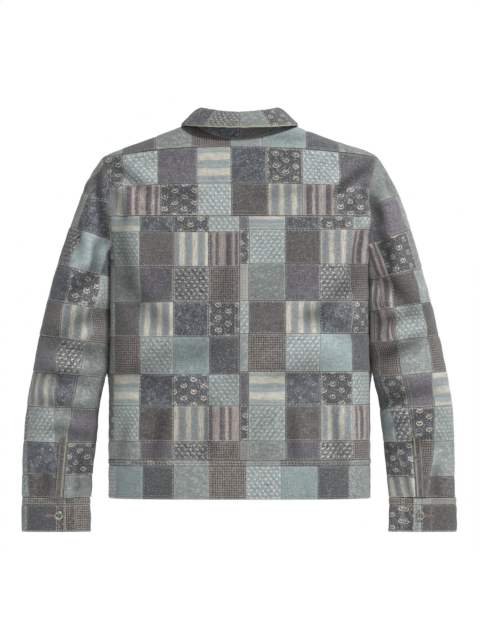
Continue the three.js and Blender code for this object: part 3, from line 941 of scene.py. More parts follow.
class Thread:
    """Collects small raised stitches into one piece."""

    def __init__(self, name):
        self.name, self.grains = name, []

    def stitches(self, starts, ends, normals, radius):
        """Stitches that rise out of the cloth and dip back into it."""
        way = ends - starts
        side = unit(np.cross(normals, way)) * radius
        up = normals * radius
        grain = [starts - up * 0.4]
        for share in (0.25, 0.75):
            middle = starts + way * share + up * 0.35
            grain += [middle - side, middle + up, middle + side]
        self.grains.append(np.stack([*grain, ends - up * 0.4], 1))

    def run(self, line, length, gap, radius, rng, loose):
        """Running stitches along a line of points and normals, uneven by the share loose."""
        points, normals = line
        along = lengths_along(points)
        count = int(along[-1] / (length + gap))
        if count < 2:
            return
        sizes = length * rng.uniform(1 - loose, 1 + loose, count)
        gaps = gap * rng.uniform(1 - loose, 1 + loose, count)
        starts = np.cumsum(sizes + gaps) - sizes
        ends = starts + sizes
        starts, ends = starts[ends < along[-1]], ends[ends < along[-1]]

        def at(distance, values):
            return np.stack([np.interp(distance, along, values[:, k]) for k in range(3)], -1)

        first, last, up = at(starts, points), at(ends, points), unit(at((starts + ends) / 2, normals))
        sound = np.linalg.norm(last - first, axis=1) > length * 0.45
        first, last, up = first[sound], last[sound], up[sound]
        drift = unit(np.cross(up, last - first)) * rng.normal(0, 0.00012, (len(first), 1))
        self.stitches(first + drift, last - drift, up, radius)

    def build(self):
        grains = np.concatenate(self.grains)
        one = [(0, 2, 1), (0, 3, 2), (0, 1, 3), (4, 5, 7), (5, 6, 7), (6, 4, 7)]
        one = np.array(one), np.array([(1, 2, 5, 4), (2, 3, 6, 5), (3, 1, 4, 6)])
        base = np.arange(len(grains))[:, None, None] * 8
        faces = (one[0] + base).reshape(-1, 3).tolist() + (one[1] + base).reshape(-1, 4).tolist()
        return new_piece(self.name, grains.reshape(-1, 3).tolist(), faces)


# ---------------------------------------------------------------- colours and sizes to change


def paint(name, srgb, text):
    """A colour property, from its screen values out of 255."""
    linear = [((c / 255 + 0.055) / 1.055) ** 2.4 if c > 10 else c / 255 / 12.92 for c in srgb]
    return FloatVectorProperty(
        name=name, description=text, default=linear, subtype="COLOR", size=3, min=0, max=1
    )


def measure(name, text, metres):
    return FloatProperty(name=name, description=text, default=metres, unit="LENGTH")


class JacketClothColours(bpy.types.PropertyGroup):
    P_ground: paint("Purple grey", (80, 77, 84), "Plain purple-grey cotton")
    P_mark: paint("Purple grey slub", (98, 94, 102), "Its paler yarns")
    H_ground: paint("Wide stripe blue", (124, 140, 144), "Wide crosswise stripe, blue")
    H_mark: paint("Wide stripe cream", (176, 169, 149), "Wide crosswise stripe, cream")
    N_ground: paint("Navy ground", (64, 68, 78), "Slate-navy cotton")
    N_mark: paint("Navy sprigs", (132, 140, 146), "Its small scattered sprigs")
    F_ground: paint("Blossom ground", (64, 64, 72), "Dark slate cotton")
    F_mark: paint("Blossom", (196, 190, 168), "Its cream blossoms")
    S_ground: paint("Dash ground", (108, 124, 126), "Pale blue-grey cotton")
    S_mark: paint("Dashes", (190, 195, 188), "Its white dashes")
    D_ground: paint("Brown grey", (76, 72, 72), "Plain dark brown-grey cotton")
    D_mark: paint("Brown grey slub", (92, 88, 86), "Its paler yarns")
    C_ground: paint("Stripe blue", (112, 121, 124), "Lengthwise stripe, blue-grey")
    C_mark: paint("Stripe cream", (176, 169, 149), "Lengthwise stripe, cream")
    M_ground: paint("Stripe purple", (92, 84, 92), "Lengthwise stripe, purple")
    M_mark: paint("Stripe pink", (160, 147, 137), "Lengthwise stripe, pink")
    W_ground: paint("Beige check", (140, 138, 130), "Pale grey-beige check")
    W_mark: paint("Beige check line", (106, 108, 108), "Its darker lines")
    G_ground: paint("Leaf ground", (102, 112, 112), "Grey-blue cotton")
    G_mark: paint("Leaf", (156, 162, 154), "Its pale leaves")
    K_ground: paint("Dark dash ground", (58, 59, 68), "Dark cotton")
    K_mark: paint("Dark dashes", (186, 188, 180), "Its white dashes")
    X_ground: paint("Gingham brown", (68, 61, 61), "Fine brown gingham")
    X_mark: paint("Gingham pale", (140, 129, 121), "Its pale squares")
    T_ground: paint("Teal", (114, 134, 136), "Plain teal cotton")
    T_mark: paint("Teal slub", (132, 149, 149), "Its paler yarns")
    Z_ground: paint("Slate check", (64, 66, 72), "Fine dark slate check")
    Z_mark: paint("Slate check line", (98, 101, 104), "Its paler lines")


class JacketTrimColours(bpy.types.PropertyGroup):
    thread: paint("Thread", (184, 184, 174), "Ecru quilting thread")
    edging: paint("Edge stitching", (172, 168, 156), "Worn thread along the armholes")
    topstitch: paint("Topstitching", (160, 157, 146), "Thread of the seams")
    buttonhole: paint("Buttonhole", (164, 138, 120), "Tan buttonhole thread")
    piping: paint("Piping", (168, 161, 143), "Bound edge of the collar and the vents")
    metal: paint("Button metal", (150, 148, 142), "Worn metal of the buttons")
    metal_dark: paint("Button recess", (48, 46, 46), "Tarnish in the buttons' hollows")
    floor: paint("Floor", (246, 246, 246), "Pale studio floor")


class JacketSizes(bpy.types.PropertyGroup):
    cloth: measure("Cloth", "Thickness of a patched panel", 0.0018)
    collar: measure("Collar", "Thickness of the collar", 0.0016)
    mesh_step: measure("Mesh step", "Size of a face of cloth", 0.0042)
    stitch: measure("Stitch", "Length of a quilting stitch", 0.0036)
    stitch_gap: measure("Stitch gap", "Space between stitches", 0.0022)
    thread: measure("Thread", "Radius of the thread", 0.00048)


# ---------------------------------------------------------------- materials


class Wire:
    """A value inside a material's nodes, with the usual arithmetic."""

    def __init__(self, tree, socket):
        self.tree, self.socket = tree, socket

    def math(self, kind, *others, clamp=False):
        pins = dict(enumerate((self, *others)))
        return node_value(self.tree, "Math", 0, pins, operation=kind, use_clamp=clamp)

    def __add__(self, other):
        return self.math("ADD", other)

    def __sub__(self, other):
        return self.math("SUBTRACT", other)

    def __mul__(self, other):
        return self.math("MULTIPLY", other)

    def __truediv__(self, other):
        return self.math("DIVIDE", other)

    def fraction(self):
        return self.math("FRACT")

    def floor(self):
        return self.math("FLOOR")

    def size(self):
        return self.math("ABSOLUTE")

    def wave(self, period):
        """From -1 to 1, once in each period."""
        return (self * (2 * math.pi / period)).math("SINE")

    def rise(self, low, high):
        """From 0 at low to 1 at high, smoothly."""
        pins = {"Value": self, "From Min": low, "From Max": high}
        return node_value(self.tree, "MapRange", "Result", pins, interpolation_type="SMOOTHSTEP")


def feed(tree, value, pin):
    if isinstance(value, Wire):
        tree.links.new(value.socket, pin)
    else:
        pin.default_value = value


def node_value(tree, kind, output, pins, **settings):
    """One output of a new node, with its settings made and its pins fed."""
    node = tree.nodes.new(f"ShaderNode{kind}")
    for name, value in settings.items():
        setattr(node, name, value)
    for pin, value in pins.items():
        feed(tree, value, node.inputs[pin])
    return Wire(tree, node.outputs[output])


def colour_of(value):
    return (*value, 1.0) if not isinstance(value, Wire) and len(value) == 3 else value


class Dye:
    """The nodes of one material: cloth coordinates in millimetres, noises and colour mixing."""

    def __init__(self, name):
        self.material = bpy.data.materials.new(name)
        self.material.use_nodes = True
        self.tree = self.material.node_tree
        self.shader = self.tree.nodes["Principled BSDF"]

    def make(self, kind, output, pins, **settings):
        return node_value(self.tree, kind, output, pins, **settings)

    def attribute(self, name, output="Vector"):
        return self.make("Attribute", output, {}, attribute_name=name)

    def parts(self, vector):
        node = self.tree.nodes.new("ShaderNodeSeparateXYZ")
        feed(self.tree, vector, node.inputs[0])
        return [Wire(self.tree, pin) for pin in node.outputs]

    def vector(self, x, y, z=0.0):
        return self.make("CombineXYZ", 0, {0: x, 1: y, 2: z})

    def position(self):
        return self.make("NewGeometry", "Position", {})

    def noise(self, place, size, detail=2.0, rough=0.5):
        pins = {"Vector": place, "Scale": 1 / size, "Detail": detail, "Roughness": rough}
        return self.make("TexNoise", "Fac", pins)

    def flat_noise(self, u, v, size, detail=2.0):
        return self.noise(self.vector(u, v), size, detail)

    def cells(self, place, size):
        """How far each place is from the middle of its own irregular cell."""
        return self.make("TexVoronoi", "Distance", {"Vector": place, "Scale": 1 / size})

    def blend(self, share, low, high, kind="MIX"):
        pins = {0: share, 6: colour_of(low), 7: colour_of(high)}
        return self.make("Mix", 2, pins, data_type="RGBA", blend_type=kind)

    def bands(self, share, stops):
        """A colour that steps through (place, colour) stops with soft edges."""
        node = self.tree.nodes.new("ShaderNodeValToRGB")
        feed(self.tree, share, node.inputs[0])
        ramp = node.color_ramp
        for k, (place, colour) in enumerate(stops):
            point = ramp.elements[k] if k < 2 else ramp.elements.new(place)
            point.position = place
            point.color = colour_of(colour)
        return Wire(self.tree, node.outputs["Color"])

    def shaded(self, colour, share, stops):
        """A colour made darker or paler by (place, strength) stops."""
        tones = self.bands(share, [(place, (strength,) * 3) for place, strength in stops])
        return self.blend(1.0, colour, tones, "MULTIPLY")

    def greyer(self, colour, share):
        return self.make("HueSaturation", "Color", {"Saturation": share, "Color": colour})

    def bump(self, height, strength, distance, **normal):
        pins = {"Strength": strength, "Distance": distance, "Height": height, **normal}
        return self.make("Bump", "Normal", pins)

    def finish(self, colour, rough, normal, sheen=0.0):
        inputs = self.shader.inputs
        feed(self.tree, colour, inputs["Base Color"])
        feed(self.tree, rough, inputs["Roughness"])
        feed(self.tree, normal, inputs["Normal"])
        inputs["Specular IOR Level"].default_value = 0.25
        inputs["Sheen Weight"].default_value = sheen
        inputs["Sheen Roughness"].default_value = 0.6
        return self.material


def between(a, b, share):
    return tuple(x + (y - x) * share for x, y in zip(a, b))


def darker(colour, share):
    return tuple(x * share for x in colour)


# Each pattern takes the dye, u and v in millimetres, its ground and its mark, and gives a colour.


def plain_cloth(dye, u, v, ground, mark):
    yarn = dye.flat_noise(u * 0.9, v * 0.10, 1.6, 3)
    weft = dye.flat_noise(u * 0.10, v * 0.9, 1.6, 3)
    return dye.blend((yarn + weft).rise(0.75, 1.25), darker(ground, 0.86), mark)


def wide_stripes(dye, u, v, ground, mark):
    drift = dye.flat_noise(u, v, 14.0, 2)
    share = ((v + drift * 4.0) / 27.5).fraction()
    streak = dye.flat_noise(u * 0.08, v, 1.5, 3)
    pale = between(mark, (0.6, 0.58, 0.5), 0.12)
    stops = [(0.0, ground), (0.20, between(ground, mark, 0.3)), (0.26, darker(ground, 0.85))]
    stops += [(0.44, ground), (0.53, mark), (0.70, pale), (0.92, mark), (1.0, ground)]
    colour = dye.bands(share, stops)
    return dye.blend(streak.rise(0.45, 0.75) * 0.8, colour, darker(ground, 0.85))


def long_stripes(dye, u, v, ground, mark):
    drift = dye.flat_noise(u, v, 11.0, 2)
    share = ((u + drift * 3.0) / 22.5).fraction()
    streak = dye.flat_noise(u, v * 0.09, 1.7, 3)
    stops = [(0.0, between(ground, mark, 0.5)), (0.05, mark), (0.34, mark)]
    stops += [(0.43, between(ground, mark, 0.3)), (0.50, ground), (0.72, darker(ground, 0.86))]
    stops += [(0.90, ground), (1.0, between(ground, mark, 0.4))]
    colour = dye.bands(share, stops)
    return dye.blend(streak.rise(0.42, 0.72) * 0.8, colour, darker(ground, 0.95))


def dark_stripes(dye, u, v, ground, mark):
    drift = dye.flat_noise(u, v, 10.0, 2)
    share = ((u + drift * 2.6) / 34.0).fraction()
    streak = dye.flat_noise(u, v * 0.09, 1.5, 3)
    wine = between(ground, (0.10, 0.05, 0.055), 0.4)
    rose = between(mark, ground, 0.30)
    stops = [(0.0, darker(ground, 0.55)), (0.12, darker(ground, 0.6)), (0.17, rose), (0.34, mark)]
    stops += [(0.50, rose), (0.55, wine), (0.66, wine), (0.72, mark), (0.82, mark), (0.88, ground)]
    stops += [(1.0, darker(ground, 0.7))]
    colour = dye.bands(share, stops)
    fine = u.wave(3.3).rise(0.2, 0.9) * 0.30
    return dye.blend(streak.rise(0.45, 0.75).math("MAXIMUM", fine), colour, darker(ground, 0.85))


def staggered(u, v, across, down):
    """How far each place is from the middle of its staggered cell, both ways."""
    row = (v / down).floor()
    x = (u / across + row * 0.5).fraction() - 0.5
    y = (v / down).fraction() - 0.5
    return x * across, y * down


def blossoms(dye, u, v, ground, mark):
    x, y = staggered(u, v, 35.0, 11.0)
    reach = ((x * x) + (y * y * 1.6)).math("SQRT")
    bowl = (reach - 4.9).size().rise(1.35, 0.5) * y.rise(1.8, -0.2)
    core = ((x * x) + ((y - 1.0) * (y - 1.0))).rise(5.0, 1.6)
    leaves = ((x.size() - 3.1).size() + (y - 2.6).size()).rise(2.2, 1.0) * 0.8
    flower = bowl.math("MAXIMUM", core).math("MAXIMUM", leaves)
    worn = dye.flat_noise(u, v, 3.0, 3).rise(0.34, 0.52)
    dust = dye.cells(dye.vector(u, v), 5.0).rise(0.22, 0.12) * 0.3
    cloud = dye.flat_noise(u, v, 24.0, 2)
    field = dye.blend(cloud.rise(0.35, 0.65), ground, between(ground, (0.055, 0.080, 0.105), 0.4))
    rosy = between(mark, (0.45, 0.27, 0.24), 0.4)
    tint = dye.blend(dye.flat_noise(u, v, 9.0, 1).rise(0.45, 0.6), mark, rosy)
    return dye.blend((flower * worn).math("MAXIMUM", dust, clamp=True) * 0.92, field, tint)


def sprigs(dye, u, v, ground, mark):
    place = dye.vector(u, v)
    near = dye.cells(place, 6.4)
    some = dye.noise(place, 9.0, 1).rise(0.42, 0.58)
    petals = near.rise(0.34, 0.20) * some
    dust = dye.cells(place, 2.6).rise(0.26, 0.12) * 0.3
    cloud = dye.noise(place, 12.0, 3).rise(0.4, 0.7)
    field = dye.blend(cloud, darker(ground, 0.85), between(ground, mark, 0.22))
    return dye.blend(petals.math("MAXIMUM", dust, clamp=True) * 0.8, field, mark)


def dashes(dye, u, v, ground, mark, across=9.8, down=6.6, long=2.3, thin=0.85):
    wander = dye.flat_noise(u, v, 7.0, 1) - 0.5
    x, y = staggered(u + wander * 2.4, v + wander * 1.8, across, down)
    mark_x = ((x * 0.84) + (y * 0.54)).size().rise(long + 0.4, long - 0.5)
    mark_y = ((y * 0.84) - (x * 0.54)).size().rise(thin + 0.35, thin - 0.3)
    worn = dye.flat_noise(u, v, 2.6, 2).rise(0.30, 0.48)
    field = plain_cloth(dye, u, v, ground, between(ground, mark, 0.3))
    return dye.blend(mark_x * mark_y * worn * 0.92, field, mark)


def dark_dashes(dye, u, v, ground, mark):
    return dashes(dye, u, v, darker(ground, 0.9), mark, 10.4, 7.0, 2.4, 0.95)


def check(dye, u, v, ground, mark, period, contrast):
    warp = u.wave(period).rise(-0.5, 0.5)
    weft = v.wave(period).rise(-0.5, 0.5)
    both = (warp + weft) * 0.5
    fade = dye.flat_noise(u, v, 8.0, 3).rise(0.2, 0.8)
    return dye.blend((both * both) * (fade * 0.4 + 0.6) * contrast, ground, mark)


def beige_check(dye, u, v, ground, mark):
    lines = check(dye, u, v, ground, mark, 5.2, 0.9)
    slub = dye.flat_noise(u * 0.2, v, 2.0, 3).rise(0.45, 0.8)
    return dye.blend(slub * 0.5, lines, darker(mark, 0.9))


def gingham(dye, u, v, ground, mark):
    return check(dye, u, v, darker(ground, 0.85), mark, 4.1, 1.05)


def slate_check(dye, u, v, ground, mark):
    return check(dye, u, v, darker(ground, 0.9), mark, 3.2, 0.75)


def leaves(dye, u, v, ground, mark):
    bend = dye.flat_noise(u, v, 16.0, 1) * 6.0
    near = dye.cells(dye.vector((u + v * 0.5 + bend) * 0.55, v - u * 0.4), 6.0)
    leaf = near.rise(0.5, 0.3)
    vein = dye.flat_noise(u, v, 2.2, 3).rise(0.4, 0.62)
    field = dye.blend(dye.flat_noise(u, v, 9.0, 3), darker(ground, 0.82), between(ground, mark, 0.35))
    return dye.blend(leaf * vein * 0.8, field, mark)


PATTERNS = {
    "P": ("purple_grey", plain_cloth),
    "H": ("wide_stripe", wide_stripes),
    "N": ("navy_sprig", sprigs),
    "F": ("blossom", blossoms),
    "S": ("pale_dash", dashes),
    "D": ("brown_grey", plain_cloth),
    "C": ("long_stripe", long_stripes),
    "M": ("dark_stripe", dark_stripes),
    "W": ("beige_check", beige_check),
    "G": ("leaf", leaves),
    "K": ("dark_dash", dark_dashes),
    "X": ("gingham", gingham),
    "T": ("teal", plain_cloth),
    "Z": ("slate_check", slate_check),
}


def patch_cloth(letter, colours):
    """One worn cotton of the patchwork: its pattern, fading and weave, with painted shade along its seams
    and in its creases and painted highlight on the crease ridges.
    """
    name, pattern = PATTERNS[letter]
    dye = Dye(f"cloth_{name}")
    u, v, fold = dye.parts(dye.attribute("cloth"))
    own = dye.attribute("patch", "Fac")
    flat_u, flat_v = u * 1000, v * 1000
    u, v = flat_u + own * 61, flat_v + own * 43
    ground, mark = (tuple(getattr(colours, f"{letter}_{part}")) for part in ("ground", "mark"))
    colour = pattern(dye, u, v, ground, mark)
    place = dye.vector(flat_u, flat_v, own * 30)
    beside, above, _ = dye.parts(dye.attribute("border"))
    border = beside.math("MINIMUM", above) * 1000
    cloud = dye.noise(place, 55.0, 3)
    mottle = dye.noise(place, 8.0, 4, 0.65)
    tone = cloud * 0.30 + mottle * 0.42 + own * 0.28
    colour = dye.shaded(colour, tone, [(0.25, 0.60), (0.75, 1.22)])
    heather = dye.noise(place, 2.3, 2, 0.6)
    grey = dye.blend(heather.rise(0.3, 0.7), darker(ground, 0.45), between(mark, (0.45, 0.45, 0.42), 0.5))
    colour = dye.blend((heather - 0.5).size().rise(0.02, 0.20) * 0.50, colour, grey)
    fade = dye.noise(place, 3.0, 3).rise(0.3, 0.62) * border.rise(4.2, 0.9) * 0.5
    colour = dye.blend(fade, colour, between(between(ground, mark, 0.6), (0.36, 0.36, 0.33), 0.5))
    # A dark line painted along the patches' seams: painted shade in the seam grooves.
    line = border.rise(0.75, 0.1) * 0.75
    colour = dye.blend(line, colour, darker(ground, 0.25))
    colour = dye.greyer(colour, 0.74)
    # Painted shade darkens the colour in the creases' troughs, and painted highlight lightens it on their
    # ridges.
    crease_shading = [(0.0, 0.34), (0.2, 0.47), (0.4, 0.74), (0.6, 1.0), (0.8, 1.22)]
    colour = dye.shaded(colour, fold * 0.4 + 0.6, crease_shading)
    warp = (flat_u.wave(1.15) * flat_v.wave(1.15)) * 0.5
    slub = dye.flat_noise(flat_u, flat_v * 0.15, 1.4, 2)
    slub = slub + dye.flat_noise(flat_u * 0.15, flat_v, 1.4, 2)
    crumple = dye.noise(place, 6.5, 4, 0.62)
    normal = dye.bump(slub + warp, 0.5, 0.0004, Normal=dye.bump(crumple, 0.55, 0.0016))
    rough = mottle * 0.12 + 0.84
    return dye.finish(colour, rough, normal, 0.12)


def thread_stuff(name, colour, pale):
    dye = Dye(name)
    place = dye.position()
    twist = dye.noise(place, 0.0012, 3)
    tint = dye.blend(dye.noise(place, 0.02, 3), darker(colour, pale), colour)
    colour = dye.blend(twist.rise(0.35, 0.7) * 0.35, tint, darker(colour, 0.6))
    return dye.finish(colour, 0.85, dye.bump(twist, 0.4, 0.0003), 0.1)


def button_metal(name, metal, dark):
    dye = Dye(name)
    place = dye.position()
    tarnish = dye.noise(place, 0.0022, 4, 0.65).rise(0.42, 0.68)
    colour = dye.blend(tarnish * 0.75, metal, dark)
    dye.shader.inputs["Metallic"].default_value = 0.9
    return dye.finish(colour, tarnish * 0.25 + 0.38, dye.bump(tarnish, 0.25, 0.0002))


class Wardrobe:
    """The materials, made once and shared by the operators."""

    made = {}

    @classmethod
    def cloths(cls):
        colours = bpy.context.scene.jacket_cloth_colours
        for letter in FABRICS:
            if letter not in cls.made:
                cls.made[letter] = patch_cloth(letter, colours)
        return [cls.made[letter] for letter in FABRICS]

    @classmethod
    def trim(cls, kind):
        colours = bpy.context.scene.jacket_trim_colours
        if kind not in cls.made:
            metal, dark = tuple(colours.metal), tuple(colours.metal_dark)
            if kind == "metal":
                cls.made[kind] = button_metal("button_metal", metal, dark)
            elif kind == "recess":
                cls.made[kind] = button_metal("button_recess", dark, dark)
            else:
                cls.made[kind] = thread_stuff(f"{kind}_thread", tuple(getattr(colours, kind)), 0.72)
        return cls.made[kind]


# ---------------------------------------------------------------- sewing the pieces


def finish_cloth(cloth, node):
    piece = cloth.build()
    for material in Wardrobe.cloths():
        piece.data.materials.append(material)
    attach(piece, "root")
    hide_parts(node)
    length = max(cloth.length, cloth.area / cloth.width * 1.001)


# Length and gap of the machine's stitches, thickness of the thread beside the quilting thread's, and
# how uneven they are.
MACHINE = {"topstitch": (0.0027, 0.0010, 0.8, 0.1), "edging": (0.0042, 0.0003, 1.3, 0.2)}


def sew(name, cloth, topstitch, seed, edges=()):
    """Running stitches along a piece's patch seams, and close stitching along other lines."""
    sizes = bpy.context.scene.jacket_sizes
    rng = np.random.default_rng(seed)
    seams = cloth.seams if cloth else []
    for kind, lines in (("thread", seams), ("topstitch", topstitch), ("edging", edges)):
        if not lines:
            continue
        by_hand = (sizes.stitch, sizes.stitch_gap, 1.0, 0.25)
        stitch, gap, thick, loose = MACHINE.get(kind, by_hand)
        thread = Thread(f"{name}_{kind}")
        for line in lines:
            thread.run(line, stitch, gap, sizes.thread * thick, rng, loose)
        finish_trim(thread.build(), kind)


def finish_trim(piece, kind):
    piece.data.materials.append(Wardrobe.trim(kind))
    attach(piece, "root")


def step():
    """The size of a face of cloth."""
    size = bpy.context.scene.jacket_sizes.mesh_step
    return size


# Rows of patches down the body, as levels from the yoke seam to the waistband seam, and the row of
# the repeat that each shows.
BODY_ROWS = [0, 1, 2, 3, 4, 0, 1, 2]
BACK_LEVELS = {
    1: [YOKE_SEAM, -0.1645, -0.2248, -0.2870, -0.3480, -0.4135, -0.4690, -0.5310, BAND_SEAM],
    -1: [YOKE_SEAM, -0.1600, -0.2205, -0.2850, -0.3425, -0.4090, -0.4675, -0.5300, BAND_SEAM],
}
BACK_COLUMNS = {
    1: ([0, 0.054, 0.116, 0.1775, 0.239, 0.32], [4, 3, 2, 1, 0]),
    -1: ([0, 0.0165, 0.0805, 0.1425, 0.2045, 0.266, 0.32], [0, 1, 2, 3, 4, 0]),
}
FRONT_LEVELS = [TIP, -0.068, -0.128, -0.185, -0.240, -0.300, -0.361, -0.422, -0.483, BAND_SEAM]
FRONT_COLUMNS = {
    1: ([-FRONT_LAP, 0.040, 0.101, 0.162, 0.223, 0.284, 0.34], [2, 3, 4, 0, 1, 2]),
    -1: ([-FRONT_LAP, 0.034, 0.095, 0.156, 0.217, 0.278, 0.34], [1, 0, 4, 3, 2, 1]),
}
FRONT_ROWS = {1: [3, 4, 0, 1, 2, 3, 4, 0, 1], -1: [0, 1, 2, 3, 4, 0, 1, 2, 3]}


EDGING_INSET = 0.0009  # the worn edge stitching beside the armholes
FRONT_BUTTONS = range(1, 6)


def wobbled(columns, seed, most=0.0012):
    """Column seams moved a little, as hand sewing leaves them."""
    rng = np.random.default_rng(seed)
    moved = [c + rng.uniform(-most, most) for c in columns[1:-1]]
    return [columns[0], *moved, columns[-1]]


def side_name(side):
    return "left" if side > 0 else "right"


def box_middle(node):
    low, high = (np.array(corner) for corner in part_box(node))
    return (low + high) / 2


def body_strips(cloth, mapping, levels, columns, order, rows, seed):
    """The strips of a back or a front, from the top down."""
    strips = []
    for k, (high, low) in enumerate(zip(levels, levels[1:])):
        letters = [REPEAT[rows[k]][c] for c in order]
        low, high = low + STRIP_GAP, high - STRIP_GAP
        seams = wobbled(columns, seed + k)
        strips.append(cloth.add_strip(mapping, seams, letters, low, high, Relief(), step()))
    return strips


def back_panel(side):
    name = f"back_{side_name(side)}"
    cloth = Cloth(f"{name}_cloth", bpy.context.scene.jacket_sizes.cloth)
    levels, columns = BACK_LEVELS[side], BACK_COLUMNS[side]
    strips = body_strips(cloth, BackMap(side), levels, *columns, BODY_ROWS, 30)
    finish_cloth(cloth, name)
    down = strips[::-1]
    topstitch = [joined_line(down, "first", 0.0022), joined_line(down, "last", 0.0025)]
    topstitch += [inset_line(strips[-1], "low", 0.0022), inset_line(strips[0], "high", 0.0018)]
    if side > 0:
        topstitch.append(joined_line(down, "first", 0.0080))
    sew(name, cloth, topstitch, 11 + side, [joined_line(down[-2:], "last", EDGING_INSET)])


def front_panel(side):
    name = f"front_{side_name(side)}"
    cloth = Cloth(f"{name}_cloth", bpy.context.scene.jacket_sizes.cloth)
    columns, order = FRONT_COLUMNS[side]
    rows = FRONT_ROWS[side]
    strips = body_strips(cloth, FrontMap(side), FRONT_LEVELS, columns, order, rows, 50)
    letters = [REPEAT[(rows[0] + 4) % 5][c] for c in order][:5]
    across = [-FRONT_LAP, 0.040, 0.101, 0.162, 0.215, 0.26]
    over = ShoulderMap(-1, side)
    cloth.add_strip(over, across, letters, 0.003, 1.0, Relief(), step(), along_length(0.075))
    finish_cloth(cloth, name)
    down = strips[::-1]
    topstitch = [joined_line(down, "first", 0.0028), joined_line(down, "last", 0.0025)]
    topstitch.append(inset_line(strips[-1], "low", 0.0022))
    if side > 0:
        topstitch.append(joined_line(down, "first", 0.0330))
    sew(name, cloth, topstitch, 21 + side)
    if side > 0:
        for k in FRONT_BUTTONS:
            front_buttonhole(k)


def front_buttonhole(k):
    """The slit beside a front button, at its height on the lap."""
    height = box_middle(f"button_front_{k}")[2]

    def below(level):
        return FrontMap(1).points(np.array([[0.0]]), level)[0][0, :, 2] < height

    level = halved(np.array([height - 0.02]), np.array([height + 0.12]), below)
    points, normals = FrontMap(1).points(np.linspace(0.0085, 0.0235, 22)[None, :], level)
    buttonhole(f"buttonhole_front_{k}", points, normals, Relief())


YOKE_MIDDLE = -0.0785
YOKE_LOW_COLUMNS = [-0.24, -0.1703, -0.1106, -0.0499, 0.0133, 0.0724, 0.139, 0.199, 0.24]
YOKE_HIGH_COLUMNS = [-0.25, -0.1743, -0.1106, -0.0487, 0.015, 0.0752, 0.1443, 0.2053, 0.25]
YOKE_ROWS = [
    (YOKE_SEAM, YOKE_MIDDLE, YOKE_LOW_COLUMNS, "FMCDSFMC"),
    (YOKE_MIDDLE, TIP, YOKE_HIGH_COLUMNS, "PSFNHPSF"),
]
SHOULDER_ROW = ([-0.25, -0.1754, -0.1177, -0.0398, 0.015, 0.084, 0.1478, 0.207, 0.25], "GZTSXGZT")


def back_yoke():
    cloth = Cloth("yoke_cloth", bpy.context.scene.jacket_sizes.cloth)
    strips = []
    for k, (low, high, columns, letters) in enumerate(YOKE_ROWS):
        low, high, seams = low + STRIP_GAP, high - STRIP_GAP, wobbled(columns, 70 + k)
        lip = 0.0 if k else 0.0011
        strip = cloth.add_strip(YokeMap(), seams, letters, low, high, Relief(), step(), raise_low=lip)
        strips.append(strip)
    over = ShoulderMap(1)
    top = cloth.add_strip(over, *SHOULDER_ROW, 0.003, 1.0, Relief(), step(), along_length(0.058))
    finish_cloth(cloth, "back_yoke")
    topstitch = [inset_line(strips[0], "low", 0.0020), inset_line(strips[0], "low", 0.0080)]
    for edge in ("first", "last"):
        topstitch += [joined_line(strips, edge, 0.0022), joined_line(strips, edge, 0.0085)]
    neck = np.abs(top[0][-1, :, 0]) < NECK_HALF_WIDTH - 0.001
    topstitch.append(inset_line((top[0][:, neck], top[1][:, neck]), "high", 0.0022))
    edges = [joined_line(strips, edge, EDGING_INSET) for edge in ("first", "last")]
    sew("yoke", cloth, topstitch, 6, edges)


# Seams of the waistband behind, where its patches are known, and the seam of the sliver above them.
BAND_COLUMNS = [-0.198, -0.1375, -0.0717, -0.0104, 0.0522, 0.1156, 0.171]
SLIVER_SEAM = -0.5744
PATCH = 0.061


def waistband():
    cloth = Cloth("waistband_cloth", bpy.context.scene.jacket_sizes.cloth)
    columns, letters, sliver = list(BAND_COLUMNS), "ZTSXGZ", "DZGXSF"
    for k in range(8):
        columns = [columns[0] - PATCH, *columns, columns[-1] + PATCH]
        letters = "GXSTZ"[k % 5] + letters + "TSXGZ"[k % 5]
        sliver = "GDNCX"[k % 5] + sliver + "FNDCX"[k % 5]
    band, relief = BandMap(), Relief(0.7)
    foot, head = SLIVER_SEAM + STRIP_GAP, BAND_SEAM - 2 * STRIP_GAP
    top = cloth.add_strip(band, columns, sliver, foot, head, relief, step(), raise_high=0.0010)
    head, seams = SLIVER_SEAM - STRIP_GAP, wobbled(columns, 90)
    low = cloth.add_strip(band, seams, letters, HEM, head, relief, step())
    finish_cloth(cloth, "hem_band")
    topstitch = [inset_line(top, "high", 0.0020), inset_line(low, "low", 0.0030)]
    topstitch += [inset_line(low, "low", 0.0065), inset_line(low, "last", 0.0030)]
    sew("waistband", cloth, topstitch, 32)


# The rows of patches down each sleeve by their middle heights, and the cloths of the upper and the
# under piece, from front to back in each row.
SLEEVE_ROWS = {
    1: [-0.02, -0.1060, -0.1675, -0.2315, -0.2920, -0.3530, -0.4150, -0.4730, -0.5340, -0.5920, -0.6325],
    -1: [-0.02, -0.1125, -0.1740, -0.2380, -0.2950, -0.3525, -0.4140, -0.4720, -0.5330, -0.5950, -0.6325],
}
UPPER_COLUMNS = {
    1: [-0.24, -0.163, -0.102, -0.041, 0.020, 0.081, 0.142, 0.24],
    -1: [-0.24, -0.183, -0.122, -0.061, 0.002, 0.062, 0.122, 0.24],
}
UPPER_CHART = {
    1: (
        "CMFGDNN", "SDCWWNN", "XPWNKTZ", "FNKSNFS", "ZTSKDCX", "GHNFPKX", "DCSSCNG", "NFMKSGS",
        "SXTGNDF", "CPKSDXD",
    ),
    -1: (
        "KPGWGGG", "NCDSGPP", "TSXGGFM", "FNHPGDM", "CDSFDSX", "PGWXXGN", "SMCDHPS", "NFSPSFX",
        "DCNFGXG", "SXGTDDG",
    ),
}
CAP_SEAM = 5  # the column seam that leans forward in the top rows, by these lengths
CAP_SHIFT = {1: {0: 0.036, 1: 0.030, 2: 0.008}, -1: {0: 0.030, 1: 0.024, 2: 0.014}}
UNDER_COLUMNS = {1: [-0.14, -0.064, -0.003, 0.14], -1: [-0.14, -0.075, -0.014, 0.047, 0.14]}
